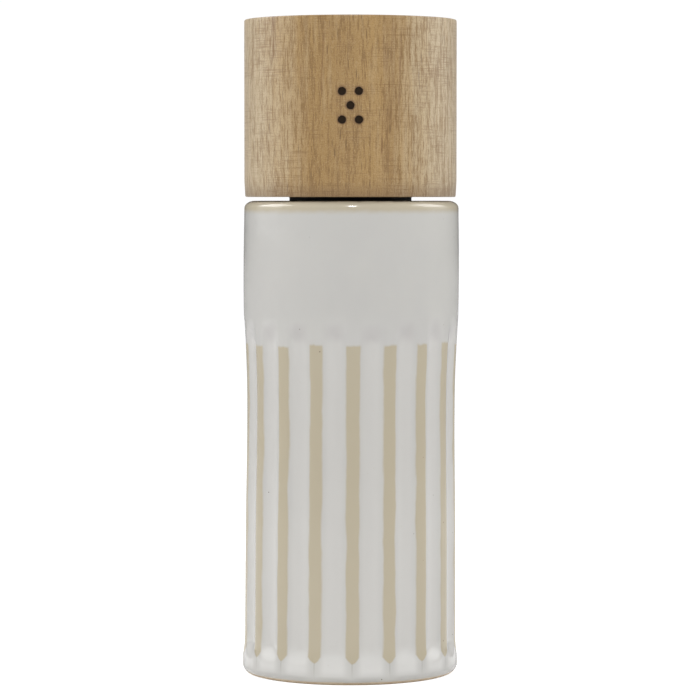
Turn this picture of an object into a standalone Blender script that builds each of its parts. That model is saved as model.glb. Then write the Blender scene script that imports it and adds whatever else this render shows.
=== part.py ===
"""A table mill: fluted stoneware body, turned wooden cap and a ceramic grinder in the base.

Metres, +Z up. The origin is the centre of the foot, on the surface that the mill stands on, and
the mill's front faces -Y. The cap drives a hexagonal shaft, which turns the inner burr inside the
outer burr. The cap pulls off for filling, and the knob in the base sets how fine the mill grinds.

Nearly every piece is a stack of sections round the Z axis, which stack() builds. Heights of the
grinder run up from the recess in the foot. Radii run outwards from the shaft or inwards from the
stoneware, with a named wall or clearance for each step.
"""

import math

import bmesh
import bpy
from mathutils import Matrix

MM = 0.001

# Overall sizes
BODY_HEIGHT = 122.8 * MM
CAP_HEIGHT = 46.2 * MM
CAP_GAP = 1.0 * MM
PLAIN_RADIUS = 28.1 * MM
CAP_RADIUS = 27.6 * MM

# Clearances
SEAT_GAP = 0.3 * MM  # between pieces that are glued, pressed or screwed together
RUN_GAP = 0.4 * MM  # between pieces that move past each other

# Stoneware body
WALL = 4.0 * MM
RIDGE_INSET = 0.8 * MM
FLUTE_COUNT = 18
FLUTE_DEPTH = 1.0 * MM
FLUTE_PHASE = math.radians(1.2)
FLUTE_SHARE = 0.64  # a flute's width, as a share of the pitch from ridge to ridge
PLAIN_BAND = 31.0 * MM
UPPER_RUNOUT = 6.5 * MM
FOOT_BAND = 5.6 * MM
LOWER_RUNOUT = 2.8 * MM
FOOT_FLARE = 0.25 * MM
FOOT_ROUND = 2.5 * MM
FOOT_RING = 4.8 * MM
FOOT_EDGE = 0.8 * MM
SHOULDER_REACH = 3.5 * MM
SHOULDER_DROP = 1.8 * MM
RIM_ROUND = 1.0 * MM
MOUTH_DEPTH = 11.8 * MM
INNER_SHOULDER = 7.0 * MM
FLOOR_THICKNESS = 5.0 * MM
FLOOR_LEDGE = 2.3 * MM
FLOOR_ROUND = 1.5 * MM
RECESS_DEPTH = 13.0 * MM

# Mouth, and the cap's drive
COLLAR_RADIUS = 15.9 * MM
COLLAR_DEPTH = 10.5 * MM
COLLAR_WALL = 1.8 * MM
BUSHING_WALL = 1.7 * MM
BUSHING_HEIGHT = 9.8 * MM
SEAL_HEIGHT = 3.6 * MM  # the seal's middle, above the collar's lower edge
FLANGE_LIP = 4.1 * MM
FLANGE_THICKNESS = 3.0 * MM
SOCKET_DEPTH = 26.0 * MM
SOCKET_WALL = 3.0 * MM
SOCKET_ROOF = 2.0 * MM
SOCKET_TAIL = 1.5 * MM  # how much shorter the socket is than the collar
COLLET_SLOTS = 3
SLOT_WIDTH = 1.2 * MM
SLOT_HEIGHT = 6.0 * MM
RIB_COUNT = 3
RIB_WIDTH = 1.8 * MM
RIB_HEIGHT = 4.0 * MM
RING_WIRE = 0.5 * MM  # radius of the wire of the grip ring and of the seal's cord
RING_HEIGHT = 2.6 * MM  # the grip ring's middle, above the socket's lower edge
RING_OPENING = math.radians(50)
CAP_EDGE = 0.6 * MM

# Drive shaft
SHAFT_ACROSS_FLATS = 6.0 * MM
THREAD_STEP = 0.6 * MM
CLIP_BITE = 0.5 * MM
SHAFT_TIP = 0.8 * MM
THREAD_SHOW = 0.4 * MM  # the threaded end stops this far above the knob's lower face

# Grinder in the base
GASKET_THICKNESS = 1.0 * MM
UNIT_FLANGE = 2.2 * MM
BARREL_WALL = 3.4 * MM
HOPPER_WALL = 1.8 * MM
BURR_HEIGHT = 12.2 * MM
BURR_RING = 2.6 * MM  # the outer burr's thickness at its lower edge
BURR_LIP = 1.7 * MM
LIP_HEIGHT = 2.0 * MM
RETAINER_THICKNESS = 1.6 * MM
RETAINER_MARGIN = 1.5 * MM
BURR_TEETH = 18
TOOTH_DEPTH = 0.7 * MM
TOOTH_LEVELS = 3
GRIND_GAP = 0.5 * MM
FEED_GAP = 3.0 * MM
CARRIER_WALL = 1.5 * MM
CARRIER_FLANGE = 2.0 * MM
CARRIER_LIP = 1.5 * MM
CONE_WALL = 1.0 * MM
SPRING_TURNS = 5
SPRING_WIRE = 0.45 * MM
SPRING_LENGTH = 9.4 * MM
WASHER_THICKNESS = 0.6 * MM
HUB_HEIGHT = 6.0 * MM
HUB_WALL = 2.2 * MM
BUSH_WALL = 1.2 * MM
BUSH_FLANGE = 1.0 * MM
CLIP_THICKNESS = 0.8 * MM
CLIP_WIDTH = 2.6 * MM
SPIDER_ARMS = 3
ARM_WIDTH = 3.4 * MM
ARM_HEIGHT = 3.0 * MM
BARBS = 3
BARB_WIDTH = 6.0 * MM
BARB_REACH = 1.1 * MM
BARB_HEIGHT = 3.0 * MM

# Adjusting knob
KNOB_LIFT = 1.8 * MM  # the knob's lower face, above the table
KNOB_FLOOR = 1.3 * MM
KNOB_LOBES = 6
KNOB_WALL = 3.4 * MM
LOBE_HEIGHT = 0.8 * MM
NUT_WALL = 1.1 * MM

# Screws
SCREW_COUNT = 3
SCREW_RADIUS = 0.9 * MM
SCREW_LENGTH = 8.0 * MM
HEAD_RADIUS = 1.9 * MM
HEAD_HEIGHT = 1.0 * MM

# Facets and joins
FLUTE_FACETS = 6
LARGE_FACETS = 72
MEDIUM_FACETS = 48
SMALL_FACETS = 36
SHAFT_FACETS = 24
SCREW_FACETS = 14
CORD_FACETS = 6
ROUND_STEPS = 3
TURN_STEPS = 10  # points in a turn of the spring
WIRE_RESOLUTION = 2
OVERLAP = 0.6 * MM  # how far joined shapes reach into each other, and cutters past a wall
SMOOTH_ANGLE = math.radians(40)

FRONT = math.radians(-90)
HEX_CORNER = 1 / math.sqrt(3)  # a hexagon's corner radius, per unit across its flats

# Stoneware, from the sizes above
FOOT_RADIUS = PLAIN_RADIUS + FOOT_FLARE
RIDGE_RADIUS = PLAIN_RADIUS - RIDGE_INSET
CHAMBER_RADIUS = RIDGE_RADIUS - WALL
RECESS_RADIUS = FOOT_RADIUS - FOOT_RING
FLOOR_TOP = RECESS_DEPTH + FLOOR_THICKNESS
HOLE_RADIUS = CHAMBER_RADIUS - FLOOR_LEDGE
BUSHING_BORE = COLLAR_RADIUS + RUN_GAP
MOUTH_RADIUS = BUSHING_BORE + BUSHING_WALL + SEAT_GAP
MOUTH_BOTTOM = BODY_HEIGHT - MOUTH_DEPTH
FLUTE_TOP = BODY_HEIGHT - PLAIN_BAND

# Cap and its drive
CAP_BOTTOM = BODY_HEIGHT + CAP_GAP
CAP_TOP = CAP_BOTTOM + CAP_HEIGHT
COLLAR_BOTTOM = CAP_BOTTOM - COLLAR_DEPTH
COLLAR_BORE = COLLAR_RADIUS - COLLAR_WALL
FLANGE_BOTTOM = CAP_BOTTOM + SEAT_GAP
FLANGE_TOP = FLANGE_BOTTOM + FLANGE_THICKNESS
FLANGE_RADIUS = COLLAR_RADIUS + FLANGE_LIP
SHAFT_TOP = CAP_BOTTOM + SOCKET_DEPTH
SHAFT_BORE = SHAFT_ACROSS_FLATS + 2 * SEAT_GAP
BORE_CORNER = SHAFT_BORE * HEX_CORNER
SOCKET_RADIUS = BORE_CORNER + SOCKET_WALL
SOCKET_BOTTOM = COLLAR_BOTTOM + SOCKET_TAIL
SOCKET_TOP = SHAFT_TOP + SEAT_GAP + SOCKET_ROOF
INSERT_SCREW_CIRCLE = (SOCKET_RADIUS + COLLAR_BORE) / 2
GROOVE = RING_WIRE + SEAT_GAP

# Heights of the grinder, from the top of the recess down to the plate
GASKET_BOTTOM = RECESS_DEPTH - SEAT_GAP - GASKET_THICKNESS
UNIT_FLANGE_TOP = GASKET_BOTTOM - SEAT_GAP
UNIT_BOTTOM = UNIT_FLANGE_TOP - UNIT_FLANGE
RETAINER_TOP = UNIT_BOTTOM - SEAT_GAP
RETAINER_BOTTOM = RETAINER_TOP - RETAINER_THICKNESS

# Heights of the burrs, spring and bearing, from the plate up
BURR_TOP = UNIT_BOTTOM + BURR_HEIGHT
LIP_BOTTOM = BURR_TOP + SEAT_GAP
LIP_TOP = LIP_BOTTOM + LIP_HEIGHT
CONE_BOTTOM = UNIT_BOTTOM + SEAT_GAP
CONE_TOP = BURR_TOP + SEAT_GAP
CARRIER_BOTTOM = UNIT_BOTTOM - CARRIER_FLANGE
CARRIER_TOP = CONE_TOP + SEAT_GAP
LOWER_WASHER = CARRIER_TOP + SEAT_GAP
SPRING_BOTTOM = LOWER_WASHER + WASHER_THICKNESS + SEAT_GAP
SPRING_TOP = SPRING_BOTTOM + SPRING_LENGTH
UPPER_WASHER = SPRING_TOP + SEAT_GAP
HUB_BOTTOM = UPPER_WASHER + WASHER_THICKNESS + SEAT_GAP
HUB_TOP = HUB_BOTTOM + HUB_HEIGHT
BUSH_TOP = HUB_TOP + SEAT_GAP + BUSH_FLANGE
CLIP_BOTTOM = BUSH_TOP + SEAT_GAP
CLIP_TOP = CLIP_BOTTOM + CLIP_THICKNESS
HEX_START = (CARRIER_BOTTOM + UNIT_BOTTOM) / 2
KNOB_TOP = CARRIER_BOTTOM - SEAT_GAP
NUT_BOTTOM = KNOB_LIFT + KNOB_FLOOR
SHAFT_END = KNOB_LIFT + THREAD_SHOW

# Radii of the grinder, outwards from the shaft
THREAD_RADIUS = SHAFT_ACROSS_FLATS / 2 - THREAD_STEP
CLIP_NECK = SHAFT_ACROSS_FLATS / 2 - CLIP_BITE
CLIP_BORE = CLIP_NECK + SEAT_GAP
CARRIER_FLATS = SHAFT_BORE + 2 * CARRIER_WALL
CONE_BORE = CARRIER_FLATS + 2 * SEAT_GAP
CONE_TOP_RADIUS = CONE_BORE * HEX_CORNER + CONE_WALL + TOOTH_DEPTH
CARRIER_LIP_RADIUS = CONE_BORE * HEX_CORNER + CARRIER_LIP
BURR_TOP_BORE = CONE_TOP_RADIUS + FEED_GAP
BUSH_RADIUS = BORE_CORNER + BUSH_WALL
HUB_BORE = BUSH_RADIUS + RUN_GAP
HUB_RADIUS = HUB_BORE + HUB_WALL
SPRING_RADIUS = BORE_CORNER + SEAT_GAP + SPRING_WIRE
WASHER_RADIUS = SPRING_RADIUS + 2 * SPRING_WIRE
NUT_BORE = THREAD_RADIUS + SEAT_GAP
NUT_FLATS = 2 * (NUT_BORE + NUT_WALL)
POCKET_FLATS = NUT_FLATS + 2 * SEAT_GAP
KNOB_RADIUS = POCKET_FLATS * HEX_CORNER + KNOB_WALL

# Radii of the grinder, inwards from the stoneware
UNIT_FLANGE_RADIUS = RECESS_RADIUS - 2 * SEAT_GAP
BARREL_RADIUS = HOLE_RADIUS - SEAT_GAP
HOPPER_RADIUS = BARREL_RADIUS - HOPPER_WALL
BURR_SEAT = BARREL_RADIUS - BARREL_WALL
BURR_RADIUS = BURR_SEAT - SEAT_GAP
OUTLET_RADIUS = BURR_RADIUS - BURR_RING
CONE_BOTTOM_RADIUS = OUTLET_RADIUS - GRIND_GAP
RETAINER_RADIUS = UNIT_FLANGE_RADIUS - RETAINER_MARGIN
RETAINER_SCREW_CIRCLE = (BURR_SEAT + BARREL_RADIUS) / 2
SCREW_HOLE = SCREW_RADIUS + SEAT_GAP

FINISHES = {  # colour, roughness and metallic of each material
    "glazed_stoneware": ((0.58, 0.57, 0.54), 0.22, 0.0),
    "turned_wood": ((0.36, 0.24, 0.12), 0.6, 0.0),
    "black_plastic": ((0.012, 0.011, 0.010), 0.45, 0.0),
    "white_plastic": ((0.75, 0.75, 0.72), 0.4, 0.0),
    "silicone": ((0.70, 0.70, 0.68), 0.6, 0.0),
    "burr_ceramic": ((0.80, 0.79, 0.75), 0.5, 0.0),
    "spring_steel": ((0.56, 0.57, 0.58), 0.3, 1.0),
    "screw_steel": ((0.60, 0.60, 0.60), 0.35, 1.0),
    "shaft_aluminium": ((0.77, 0.78, 0.79), 0.35, 1.0),
    "nut_brass": ((0.72, 0.52, 0.22), 0.3, 1.0),
}


def finish(name):
    """The material of that finish, made the first time that it is asked for."""
    made = bpy.data.materials.get(name)
    if made is None:
        colour, roughness, metallic = FINISHES[name]
        made = bpy.data.materials.new(name)
        made.use_nodes = True
        shader = made.node_tree.nodes["Principled BSDF"]
        shader.inputs["Base Color"].default_value = (*colour, 1.0)
        shader.inputs["Roughness"].default_value = roughness
        shader.inputs["Metallic"].default_value = metallic
    return made


# Sections: a section gives the radius at an angle round Z


def circle(radius):
    return lambda angle: radius


def hexagon(across_flats):
    """A hexagon with a corner on +X."""
    side = math.radians(60)
    return lambda angle: across_flats / 2 / math.cos(angle % side - side / 2)


def fluted(radius, share):
    """A circle with a ridge at the front and flutes between the ridges, at that share of depth."""
    pitch = 2 * math.pi / FLUTE_COUNT

    def section(angle):
        off_flute = abs((angle - FRONT - FLUTE_PHASE) / pitch % 1 - 0.5)
        hollow = max(0.0, 1 - (off_flute / (FLUTE_SHARE / 2)) ** 2)
        return radius - share * FLUTE_DEPTH * hollow

    return section


def toothed(radius, depth, turned):
    """Teeth that slope up to their tips at radius. turned is how far round they are."""
    pitch = 2 * math.pi / BURR_TEETH
    return lambda angle: radius - depth * (1 - ((angle - turned) / pitch) % 1)


def lobed(radius, height):
    return lambda angle: radius + height * math.cos(KNOB_LOBES * angle)


# Making meshes


def add(name, bm, material):
    """Puts a mesh in the scene as an object with its faces pointing out and its curves smooth."""
    bmesh.ops.recalc_face_normals(bm, faces=bm.faces)
    mesh = bpy.data.meshes.new(name)
    bm.to_mesh(mesh)
    bm.free()
    mesh.shade_smooth()
    mesh.set_sharp_from_angle(angle=SMOOTH_ANGLE)
    mesh.materials.append(finish(material))
    piece = bpy.data.objects.new(name, mesh)
    bpy.context.scene.collection.objects.link(piece)
    return piece


def stack(name, rings, facets, material, start=0.0, hollow=True):
    """A solid through a list of rings, each (section or radius, height) or with a third value,
    the number of facets that the strip up to that ring is turned by.

    A hollow stack joins its last ring to its first one. Any other is closed by a flat face
    across each of those two.
    """
    bm = bmesh.new()
    step = 2 * math.pi / facets
    made = []
    for section, height, *_ in rings:
        radius = section if callable(section) else circle(section)
        angles = [start + step * i for i in range(facets)]
        points = [(radius(a) * math.cos(a), radius(a) * math.sin(a), height) for a in angles]
        made.append([bm.verts.new(point) for point in points])
    turns = [ring[2] if len(ring) > 2 else 0 for ring in rings]
    pairs = list(zip(made, made[1:], turns[1:]))
    if hollow:
        pairs.append((made[-1], made[0], 0))
    else:
        bm.faces.new(made[0])
        bm.faces.new(made[-1])
    for lower, upper, turn in pairs:
        for i in range(facets):
            j = (i + 1) % facets
            ahead = [(k + turn) % facets for k in (j, i)]
            bm.faces.new((lower[i], lower[j], upper[ahead[0]], upper[ahead[1]]))
    return add(name, bm, material)


def block(name, low, high, material, angle=0.0):
    """A box between two corners, then turned round Z."""
    bm = bmesh.new()
    bmesh.ops.create_cube(bm, size=1.0)
    size = [b - a for a, b in zip(low, high)]
    middle = [(a + b) / 2 for a, b in zip(low, high)]
    placed = Matrix.Rotation(angle, 4, "Z") @ Matrix.Translation(middle) @ Matrix.Diagonal((*size, 1))
    bmesh.ops.transform(bm, matrix=placed, verts=bm.verts)
    return add(name, bm, material)


def wire(name, points, radius, material, closed=False):
    """Round wire through a list of points."""
    curve = bpy.data.curves.new(name, "CURVE")
    curve.dimensions = "3D"
    curve.bevel_depth = radius
    curve.bevel_resolution = WIRE_RESOLUTION
    curve.use_fill_caps = not closed
    spline = curve.splines.new("POLY")
    spline.points.add(len(points) - 1)
    spline.use_cyclic_u = closed
    for point, place in zip(spline.points, points):
        point.co = (*place, 1.0)
    curve.materials.append(finish(material))
    piece = bpy.data.objects.new(name, curve)
    bpy.context.scene.collection.objects.link(piece)
    return piece


def shape_with(piece, other, operation):
    """Cuts other from piece or joins it to piece. other stays as a hidden guide."""
    other.hide_render = True
    other.display_type = "WIRE"
    modifier = piece.modifiers.new(other.name, "BOOLEAN")
    modifier.operation = operation
    modifier.object = other


def cut(piece, other):
    shape_with(piece, other, "DIFFERENCE")


def join(piece, other):
    shape_with(piece, other, "UNION")


def spread(count, offset=0.0):
    """That many angles, evenly round a circle, the first at the front plus the offset."""
    return [FRONT + offset + 2 * math.pi * i / count for i in range(count)]


def quarter(radius, height, reach, rise, start):
    """(radius, height) pairs along a quarter of an ellipse round a point of the profile."""
    angles = [math.radians(start + 90 * i / ROUND_STEPS) for i in range(ROUND_STEPS + 1)]
    return [(radius + reach * math.cos(a), height + rise * math.sin(a)) for a in angles]


def tube(name, inner, outer, bottom, top, facets, material):
    rings = [(inner, bottom), (outer, bottom), (outer, top), (inner, top)]
    return stack(name, rings, facets, material)


def rod(name, radius, bottom, top, facets, material):
    return stack(name, [(radius, bottom), (radius, top)], facets, material, hollow=False)


# Stoneware


def stoneware_body():
    """The fluted shell: rounded foot, flutes that run out above and below, shoulder and mouth."""
    foot = quarter(FOOT_RADIUS - FOOT_ROUND, FOOT_ROUND, FOOT_ROUND, FOOT_ROUND, -90)
    flutes_low = FOOT_BAND + LOWER_RUNOUT
    flutes_high = FLUTE_TOP - UPPER_RUNOUT
    halfway = (PLAIN_RADIUS + RIDGE_RADIUS) / 2
    fluting = [
        (FOOT_RADIUS, (FOOT_ROUND + FOOT_BAND) / 2),
        (PLAIN_RADIUS, FOOT_BAND),
        (fluted(halfway, 0.6), FOOT_BAND + LOWER_RUNOUT / 2),
        (fluted(RIDGE_RADIUS, 1.0), flutes_low),
        (fluted(RIDGE_RADIUS, 1.0), flutes_high),
        (fluted(halfway, 0.6), flutes_high + UPPER_RUNOUT / 2),
        (PLAIN_RADIUS - RIDGE_INSET / 4, FLUTE_TOP),
        (PLAIN_RADIUS, FLUTE_TOP + UPPER_RUNOUT),
    ]
    shoulder = quarter(
        PLAIN_RADIUS - SHOULDER_REACH, BODY_HEIGHT - SHOULDER_DROP, SHOULDER_REACH, SHOULDER_DROP, 0
    )
    inside = [
        (MOUTH_RADIUS + RIM_ROUND, BODY_HEIGHT),
        (MOUTH_RADIUS, BODY_HEIGHT - RIM_ROUND),
        (MOUTH_RADIUS, MOUTH_BOTTOM),
        (CHAMBER_RADIUS, MOUTH_BOTTOM - INNER_SHOULDER),
        (CHAMBER_RADIUS, FLOOR_TOP + FLOOR_ROUND),
        (CHAMBER_RADIUS - FLOOR_ROUND, FLOOR_TOP),
        (HOLE_RADIUS, FLOOR_TOP),
        (HOLE_RADIUS, RECESS_DEPTH),
        (RECESS_RADIUS, RECESS_DEPTH),
        (RECESS_RADIUS, FOOT_EDGE),
        (RECESS_RADIUS + FOOT_EDGE, 0.0),
    ]
    rings = foot + fluting + shoulder + inside
    facets = FLUTE_COUNT * FLUTE_FACETS
    return stack("stoneware_body", rings, facets, "glazed_stoneware", FRONT + FLUTE_PHASE)


def mouth_bushing():
    """The plastic ring in the mouth that the cap's collar turns in."""
    top = BODY_HEIGHT - RIM_ROUND
    outer = BUSHING_BORE + BUSHING_WALL
    return tube(
        "mouth_bushing", BUSHING_BORE, outer, top - BUSHING_HEIGHT, top, MEDIUM_FACETS, "black_plastic"
    )


# Cap


def screw(name, circle_radius, angle, head_bottom, holes):
    """A pan-headed screw that points up, and a hole round its shank in each of those pieces."""
    x, y = circle_radius * math.cos(angle), circle_radius * math.sin(angle)
    head_top = head_bottom + HEAD_HEIGHT
    point = head_top + SCREW_LENGTH
    rings = [
        (HEAD_RADIUS - HEAD_HEIGHT / 2, head_bottom),
        (HEAD_RADIUS, head_bottom + HEAD_HEIGHT / 2),
        (HEAD_RADIUS, head_top),
        (SCREW_RADIUS, head_top),
        (SCREW_RADIUS, point - 2 * SCREW_RADIUS),
        (SCREW_RADIUS / 3, point),
    ]
    piece = stack(name, rings, SCREW_FACETS, "screw_steel", hollow=False)
    piece.location = (x, y, 0.0)
    for holed in holes:
        hole = rod(f"{name}_hole_in_{holed.name}", SCREW_HOLE, head_top, point + SEAT_GAP,
                   SCREW_FACETS, "screw_steel")
        hole.location = (x, y, 0.0)
        cut(holed, hole)
    return piece


def wooden_cap():
    """The turned cap, with a recess for the insert's flange and a blind hole for its socket."""
    rings = [
        (SOCKET_RADIUS + SEAT_GAP, SOCKET_TOP + SEAT_GAP),
        (SOCKET_RADIUS + SEAT_GAP, FLANGE_TOP + SEAT_GAP),
        (FLANGE_RADIUS + SEAT_GAP, FLANGE_TOP + SEAT_GAP),
        (FLANGE_RADIUS + SEAT_GAP, CAP_BOTTOM),
        (CAP_RADIUS - CAP_EDGE, CAP_BOTTOM),
        (CAP_RADIUS, CAP_BOTTOM + CAP_EDGE),
        (CAP_RADIUS, CAP_TOP - CAP_EDGE),
        (CAP_RADIUS - CAP_EDGE, CAP_TOP),
    ]
    return stack("wooden_cap", rings, LARGE_FACETS, "turned_wood", hollow=False)


def cap_insert():
    """The plastic insert: hexagonal socket with a slotted end, collar, ribs and flange."""
    seal = COLLAR_BOTTOM + SEAL_HEIGHT
    ring = SOCKET_BOTTOM + RING_HEIGHT
    rings = [
        (hexagon(SHAFT_BORE), SHAFT_TOP + SEAT_GAP),
        (hexagon(SHAFT_BORE), SOCKET_BOTTOM),
        (SOCKET_RADIUS, SOCKET_BOTTOM),
        (SOCKET_RADIUS, ring - GROOVE),
        (SOCKET_RADIUS - GROOVE, ring - GROOVE),
        (SOCKET_RADIUS - GROOVE, ring + GROOVE),
        (SOCKET_RADIUS, ring + GROOVE),
        (SOCKET_RADIUS, FLANGE_BOTTOM),
        (COLLAR_BORE, FLANGE_BOTTOM),
        (COLLAR_BORE, COLLAR_BOTTOM),
        (COLLAR_RADIUS, COLLAR_BOTTOM),
        (COLLAR_RADIUS, seal - GROOVE),
        (COLLAR_RADIUS - GROOVE - SEAT_GAP, seal - GROOVE),
        (COLLAR_RADIUS - GROOVE - SEAT_GAP, seal + GROOVE),
        (COLLAR_RADIUS, seal + GROOVE),
        (COLLAR_RADIUS, FLANGE_BOTTOM),
        (FLANGE_RADIUS, FLANGE_BOTTOM),
        (FLANGE_RADIUS, FLANGE_TOP),
        (SOCKET_RADIUS, FLANGE_TOP),
        (SOCKET_RADIUS, SOCKET_TOP),
    ]
    insert = stack("cap_insert", rings, SMALL_FACETS, "black_plastic", hollow=False)
    for i, angle in enumerate(spread(RIB_COUNT, math.radians(60))):
        low = (SOCKET_RADIUS - OVERLAP, -RIB_WIDTH / 2, FLANGE_BOTTOM - RIB_HEIGHT)
        high = (COLLAR_BORE + OVERLAP, RIB_WIDTH / 2, FLANGE_BOTTOM + OVERLAP)
        join(insert, block(f"insert_rib_{i + 1}", low, high, "black_plastic", angle))
    for i, angle in enumerate(spread(COLLET_SLOTS)):
        low = (0.0, -SLOT_WIDTH / 2, SOCKET_BOTTOM - OVERLAP)
        high = (SOCKET_RADIUS + OVERLAP, SLOT_WIDTH / 2, SOCKET_BOTTOM + SLOT_HEIGHT)
        cut(insert, block(f"collet_slot_{i + 1}", low, high, "black_plastic", angle))
    return insert


def grip_ring():
    """The open steel ring that squeezes the socket's slotted end on to the shaft."""
    steps = SHAFT_FACETS
    turn = 2 * math.pi - RING_OPENING
    angles = [RING_OPENING / 2 + turn * i / steps for i in range(steps + 1)]
    height = SOCKET_BOTTOM + RING_HEIGHT
    points = [(SOCKET_RADIUS * math.cos(a), SOCKET_RADIUS * math.sin(a), height) for a in angles]
    return wire("grip_ring", points, RING_WIRE, "spring_steel")


def collar_seal():
    """The soft ring round the collar that keeps the cap from rattling in the mouth."""
    radius = BUSHING_BORE - SEAT_GAP - RING_WIRE
    height = COLLAR_BOTTOM + SEAL_HEIGHT
    rings = [
        (radius + RING_WIRE * math.cos(a), height + RING_WIRE * math.sin(a))
        for a in (2 * math.pi * i / CORD_FACETS for i in range(CORD_FACETS))
    ]
    return stack("collar_seal", rings, SMALL_FACETS, "silicone")


def cap_group():
    cap = wooden_cap()
    insert = cap_insert()
    pieces = [cap, insert, grip_ring(), collar_seal()]
    head_bottom = FLANGE_BOTTOM - SEAT_GAP - HEAD_HEIGHT
    for i, angle in enumerate(spread(SCREW_COUNT)):
        name = f"insert_screw_{i + 1}"
        pieces.append(screw(name, INSERT_SCREW_CIRCLE, angle, head_bottom, (cap, insert)))
    return pieces


# Shaft and bearing


def drive_shaft():
    """The hexagonal shaft: threaded end, hexagon, neck for the clip, hexagon and tip."""
    thread_tip = THREAD_RADIUS - THREAD_STEP / 2
    flats = hexagon(SHAFT_ACROSS_FLATS)
    rings = [
        (thread_tip, SHAFT_END),
        (THREAD_RADIUS, SHAFT_END + THREAD_STEP / 2),
        (THREAD_RADIUS, HEX_START),
        (flats, HEX_START),
        (flats, CLIP_BOTTOM - SEAT_GAP),
        (CLIP_NECK, CLIP_BOTTOM - SEAT_GAP),
        (CLIP_NECK, CLIP_TOP + SEAT_GAP),
        (flats, CLIP_TOP + SEAT_GAP),
        (flats, SHAFT_TOP - SHAFT_TIP),
        (SHAFT_ACROSS_FLATS / 2 - SHAFT_TIP, SHAFT_TOP),
    ]
    return stack("drive_shaft", rings, SHAFT_FACETS, "shaft_aluminium", hollow=False)


def drive_bush():
    """The plastic bush that turns with the shaft in the housing's hub."""
    bore = hexagon(SHAFT_BORE)
    under_flange = HUB_TOP + SEAT_GAP
    rings = [
        (bore, HUB_BOTTOM + SEAT_GAP),
        (BUSH_RADIUS, HUB_BOTTOM + SEAT_GAP),
        (BUSH_RADIUS, under_flange),
        ((HUB_BORE + HUB_RADIUS) / 2, under_flange),
        ((HUB_BORE + HUB_RADIUS) / 2, BUSH_TOP),
        (bore, BUSH_TOP),
    ]
    return stack("drive_bush", rings, SMALL_FACETS, "white_plastic")


def shaft_clip():
    """The open clip in the shaft's neck, which rests on the bush and holds the shaft up."""
    clip = tube(
        "shaft_clip", CLIP_BORE, CLIP_BORE + CLIP_WIDTH, CLIP_BOTTOM, CLIP_TOP, SHAFT_FACETS,
        "spring_steel",
    )
    half = CLIP_NECK * 0.8
    low = (0.0, -half, CLIP_BOTTOM - OVERLAP)
    high = (CLIP_BORE + CLIP_WIDTH + OVERLAP, half, CLIP_TOP + OVERLAP)
    cut(clip, block("clip_opening", low, high, "spring_steel", FRONT))
    return clip


def washer(name, bottom):
    top = bottom + WASHER_THICKNESS
    return tube(name, BORE_CORNER, WASHER_RADIUS, bottom, top, SHAFT_FACETS, "spring_steel")


def burr_spring():
    """The spring that keeps the inner burr down on the knob."""
    steps = SPRING_TURNS * TURN_STEPS
    bottom = SPRING_BOTTOM + SPRING_WIRE
    rise = SPRING_LENGTH - 2 * SPRING_WIRE
    points = []
    for i in range(steps + 1):
        angle = 2 * math.pi * SPRING_TURNS * i / steps
        height = bottom + rise * i / steps
        points.append((SPRING_RADIUS * math.cos(angle), SPRING_RADIUS * math.sin(angle), height))
    return wire("burr_spring", points, SPRING_WIRE, "spring_steel")


# Grinder


def grinder_housing():
    """The housing: flange, barrel with the outer burr's seat, hopper, spider and snap barbs."""
    lip = BURR_SEAT - BURR_LIP
    rings = [
        (BURR_SEAT, UNIT_BOTTOM),
        (UNIT_FLANGE_RADIUS, UNIT_BOTTOM),
        (UNIT_FLANGE_RADIUS, UNIT_FLANGE_TOP),
        (BARREL_RADIUS, UNIT_FLANGE_TOP),
        (BARREL_RADIUS, HUB_TOP),
        (HOPPER_RADIUS, HUB_TOP),
        (HOPPER_RADIUS, LIP_TOP),
        (lip, LIP_TOP),
        (lip, LIP_BOTTOM),
        (BURR_SEAT, LIP_BOTTOM),
    ]
    housing = stack("grinder_housing", rings, MEDIUM_FACETS, "black_plastic")
    hub = tube("spider_hub", HUB_BORE, HUB_RADIUS, HUB_BOTTOM, HUB_TOP, SMALL_FACETS, "black_plastic")
    for i, angle in enumerate(spread(SPIDER_ARMS, math.radians(60))):
        low = ((HUB_BORE + HUB_RADIUS) / 2, -ARM_WIDTH / 2, HUB_TOP - ARM_HEIGHT)
        high = (HOPPER_RADIUS + HOPPER_WALL / 2, ARM_WIDTH / 2, HUB_TOP - SEAT_GAP)
        join(housing, block(f"spider_arm_{i + 1}", low, high, "black_plastic", angle))
    join(housing, hub)
    barb_bottom = FLOOR_TOP + SEAT_GAP
    for i, angle in enumerate(spread(BARBS)):
        low = (BARREL_RADIUS - HOPPER_WALL / 2, -BARB_WIDTH / 2, barb_bottom)
        high = (BARREL_RADIUS + BARB_REACH, BARB_WIDTH / 2, barb_bottom + BARB_HEIGHT)
        join(housing, block(f"snap_barb_{i + 1}", low, high, "black_plastic", angle))
    return housing


def housing_gasket():
    top = RECESS_DEPTH - SEAT_GAP
    inner = BARREL_RADIUS + SEAT_GAP
    return tube(
        "housing_gasket", inner, UNIT_FLANGE_RADIUS, GASKET_BOTTOM, top, MEDIUM_FACETS, "silicone"
    )


def tooth_rings(low_radius, high_radius, bottom, top):
    """Rings of teeth from bottom to top, each turned on by one facet from the ring below."""
    step = 2 * math.pi / LARGE_FACETS
    rings = []
    for i in range(TOOTH_LEVELS + 1):
        share = i / TOOTH_LEVELS
        radius = low_radius + (high_radius - low_radius) * share
        height = bottom + (top - bottom) * share
        rings.append((toothed(radius, TOOTH_DEPTH, i * step), height, 1 if i else 0))
    return rings


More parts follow.
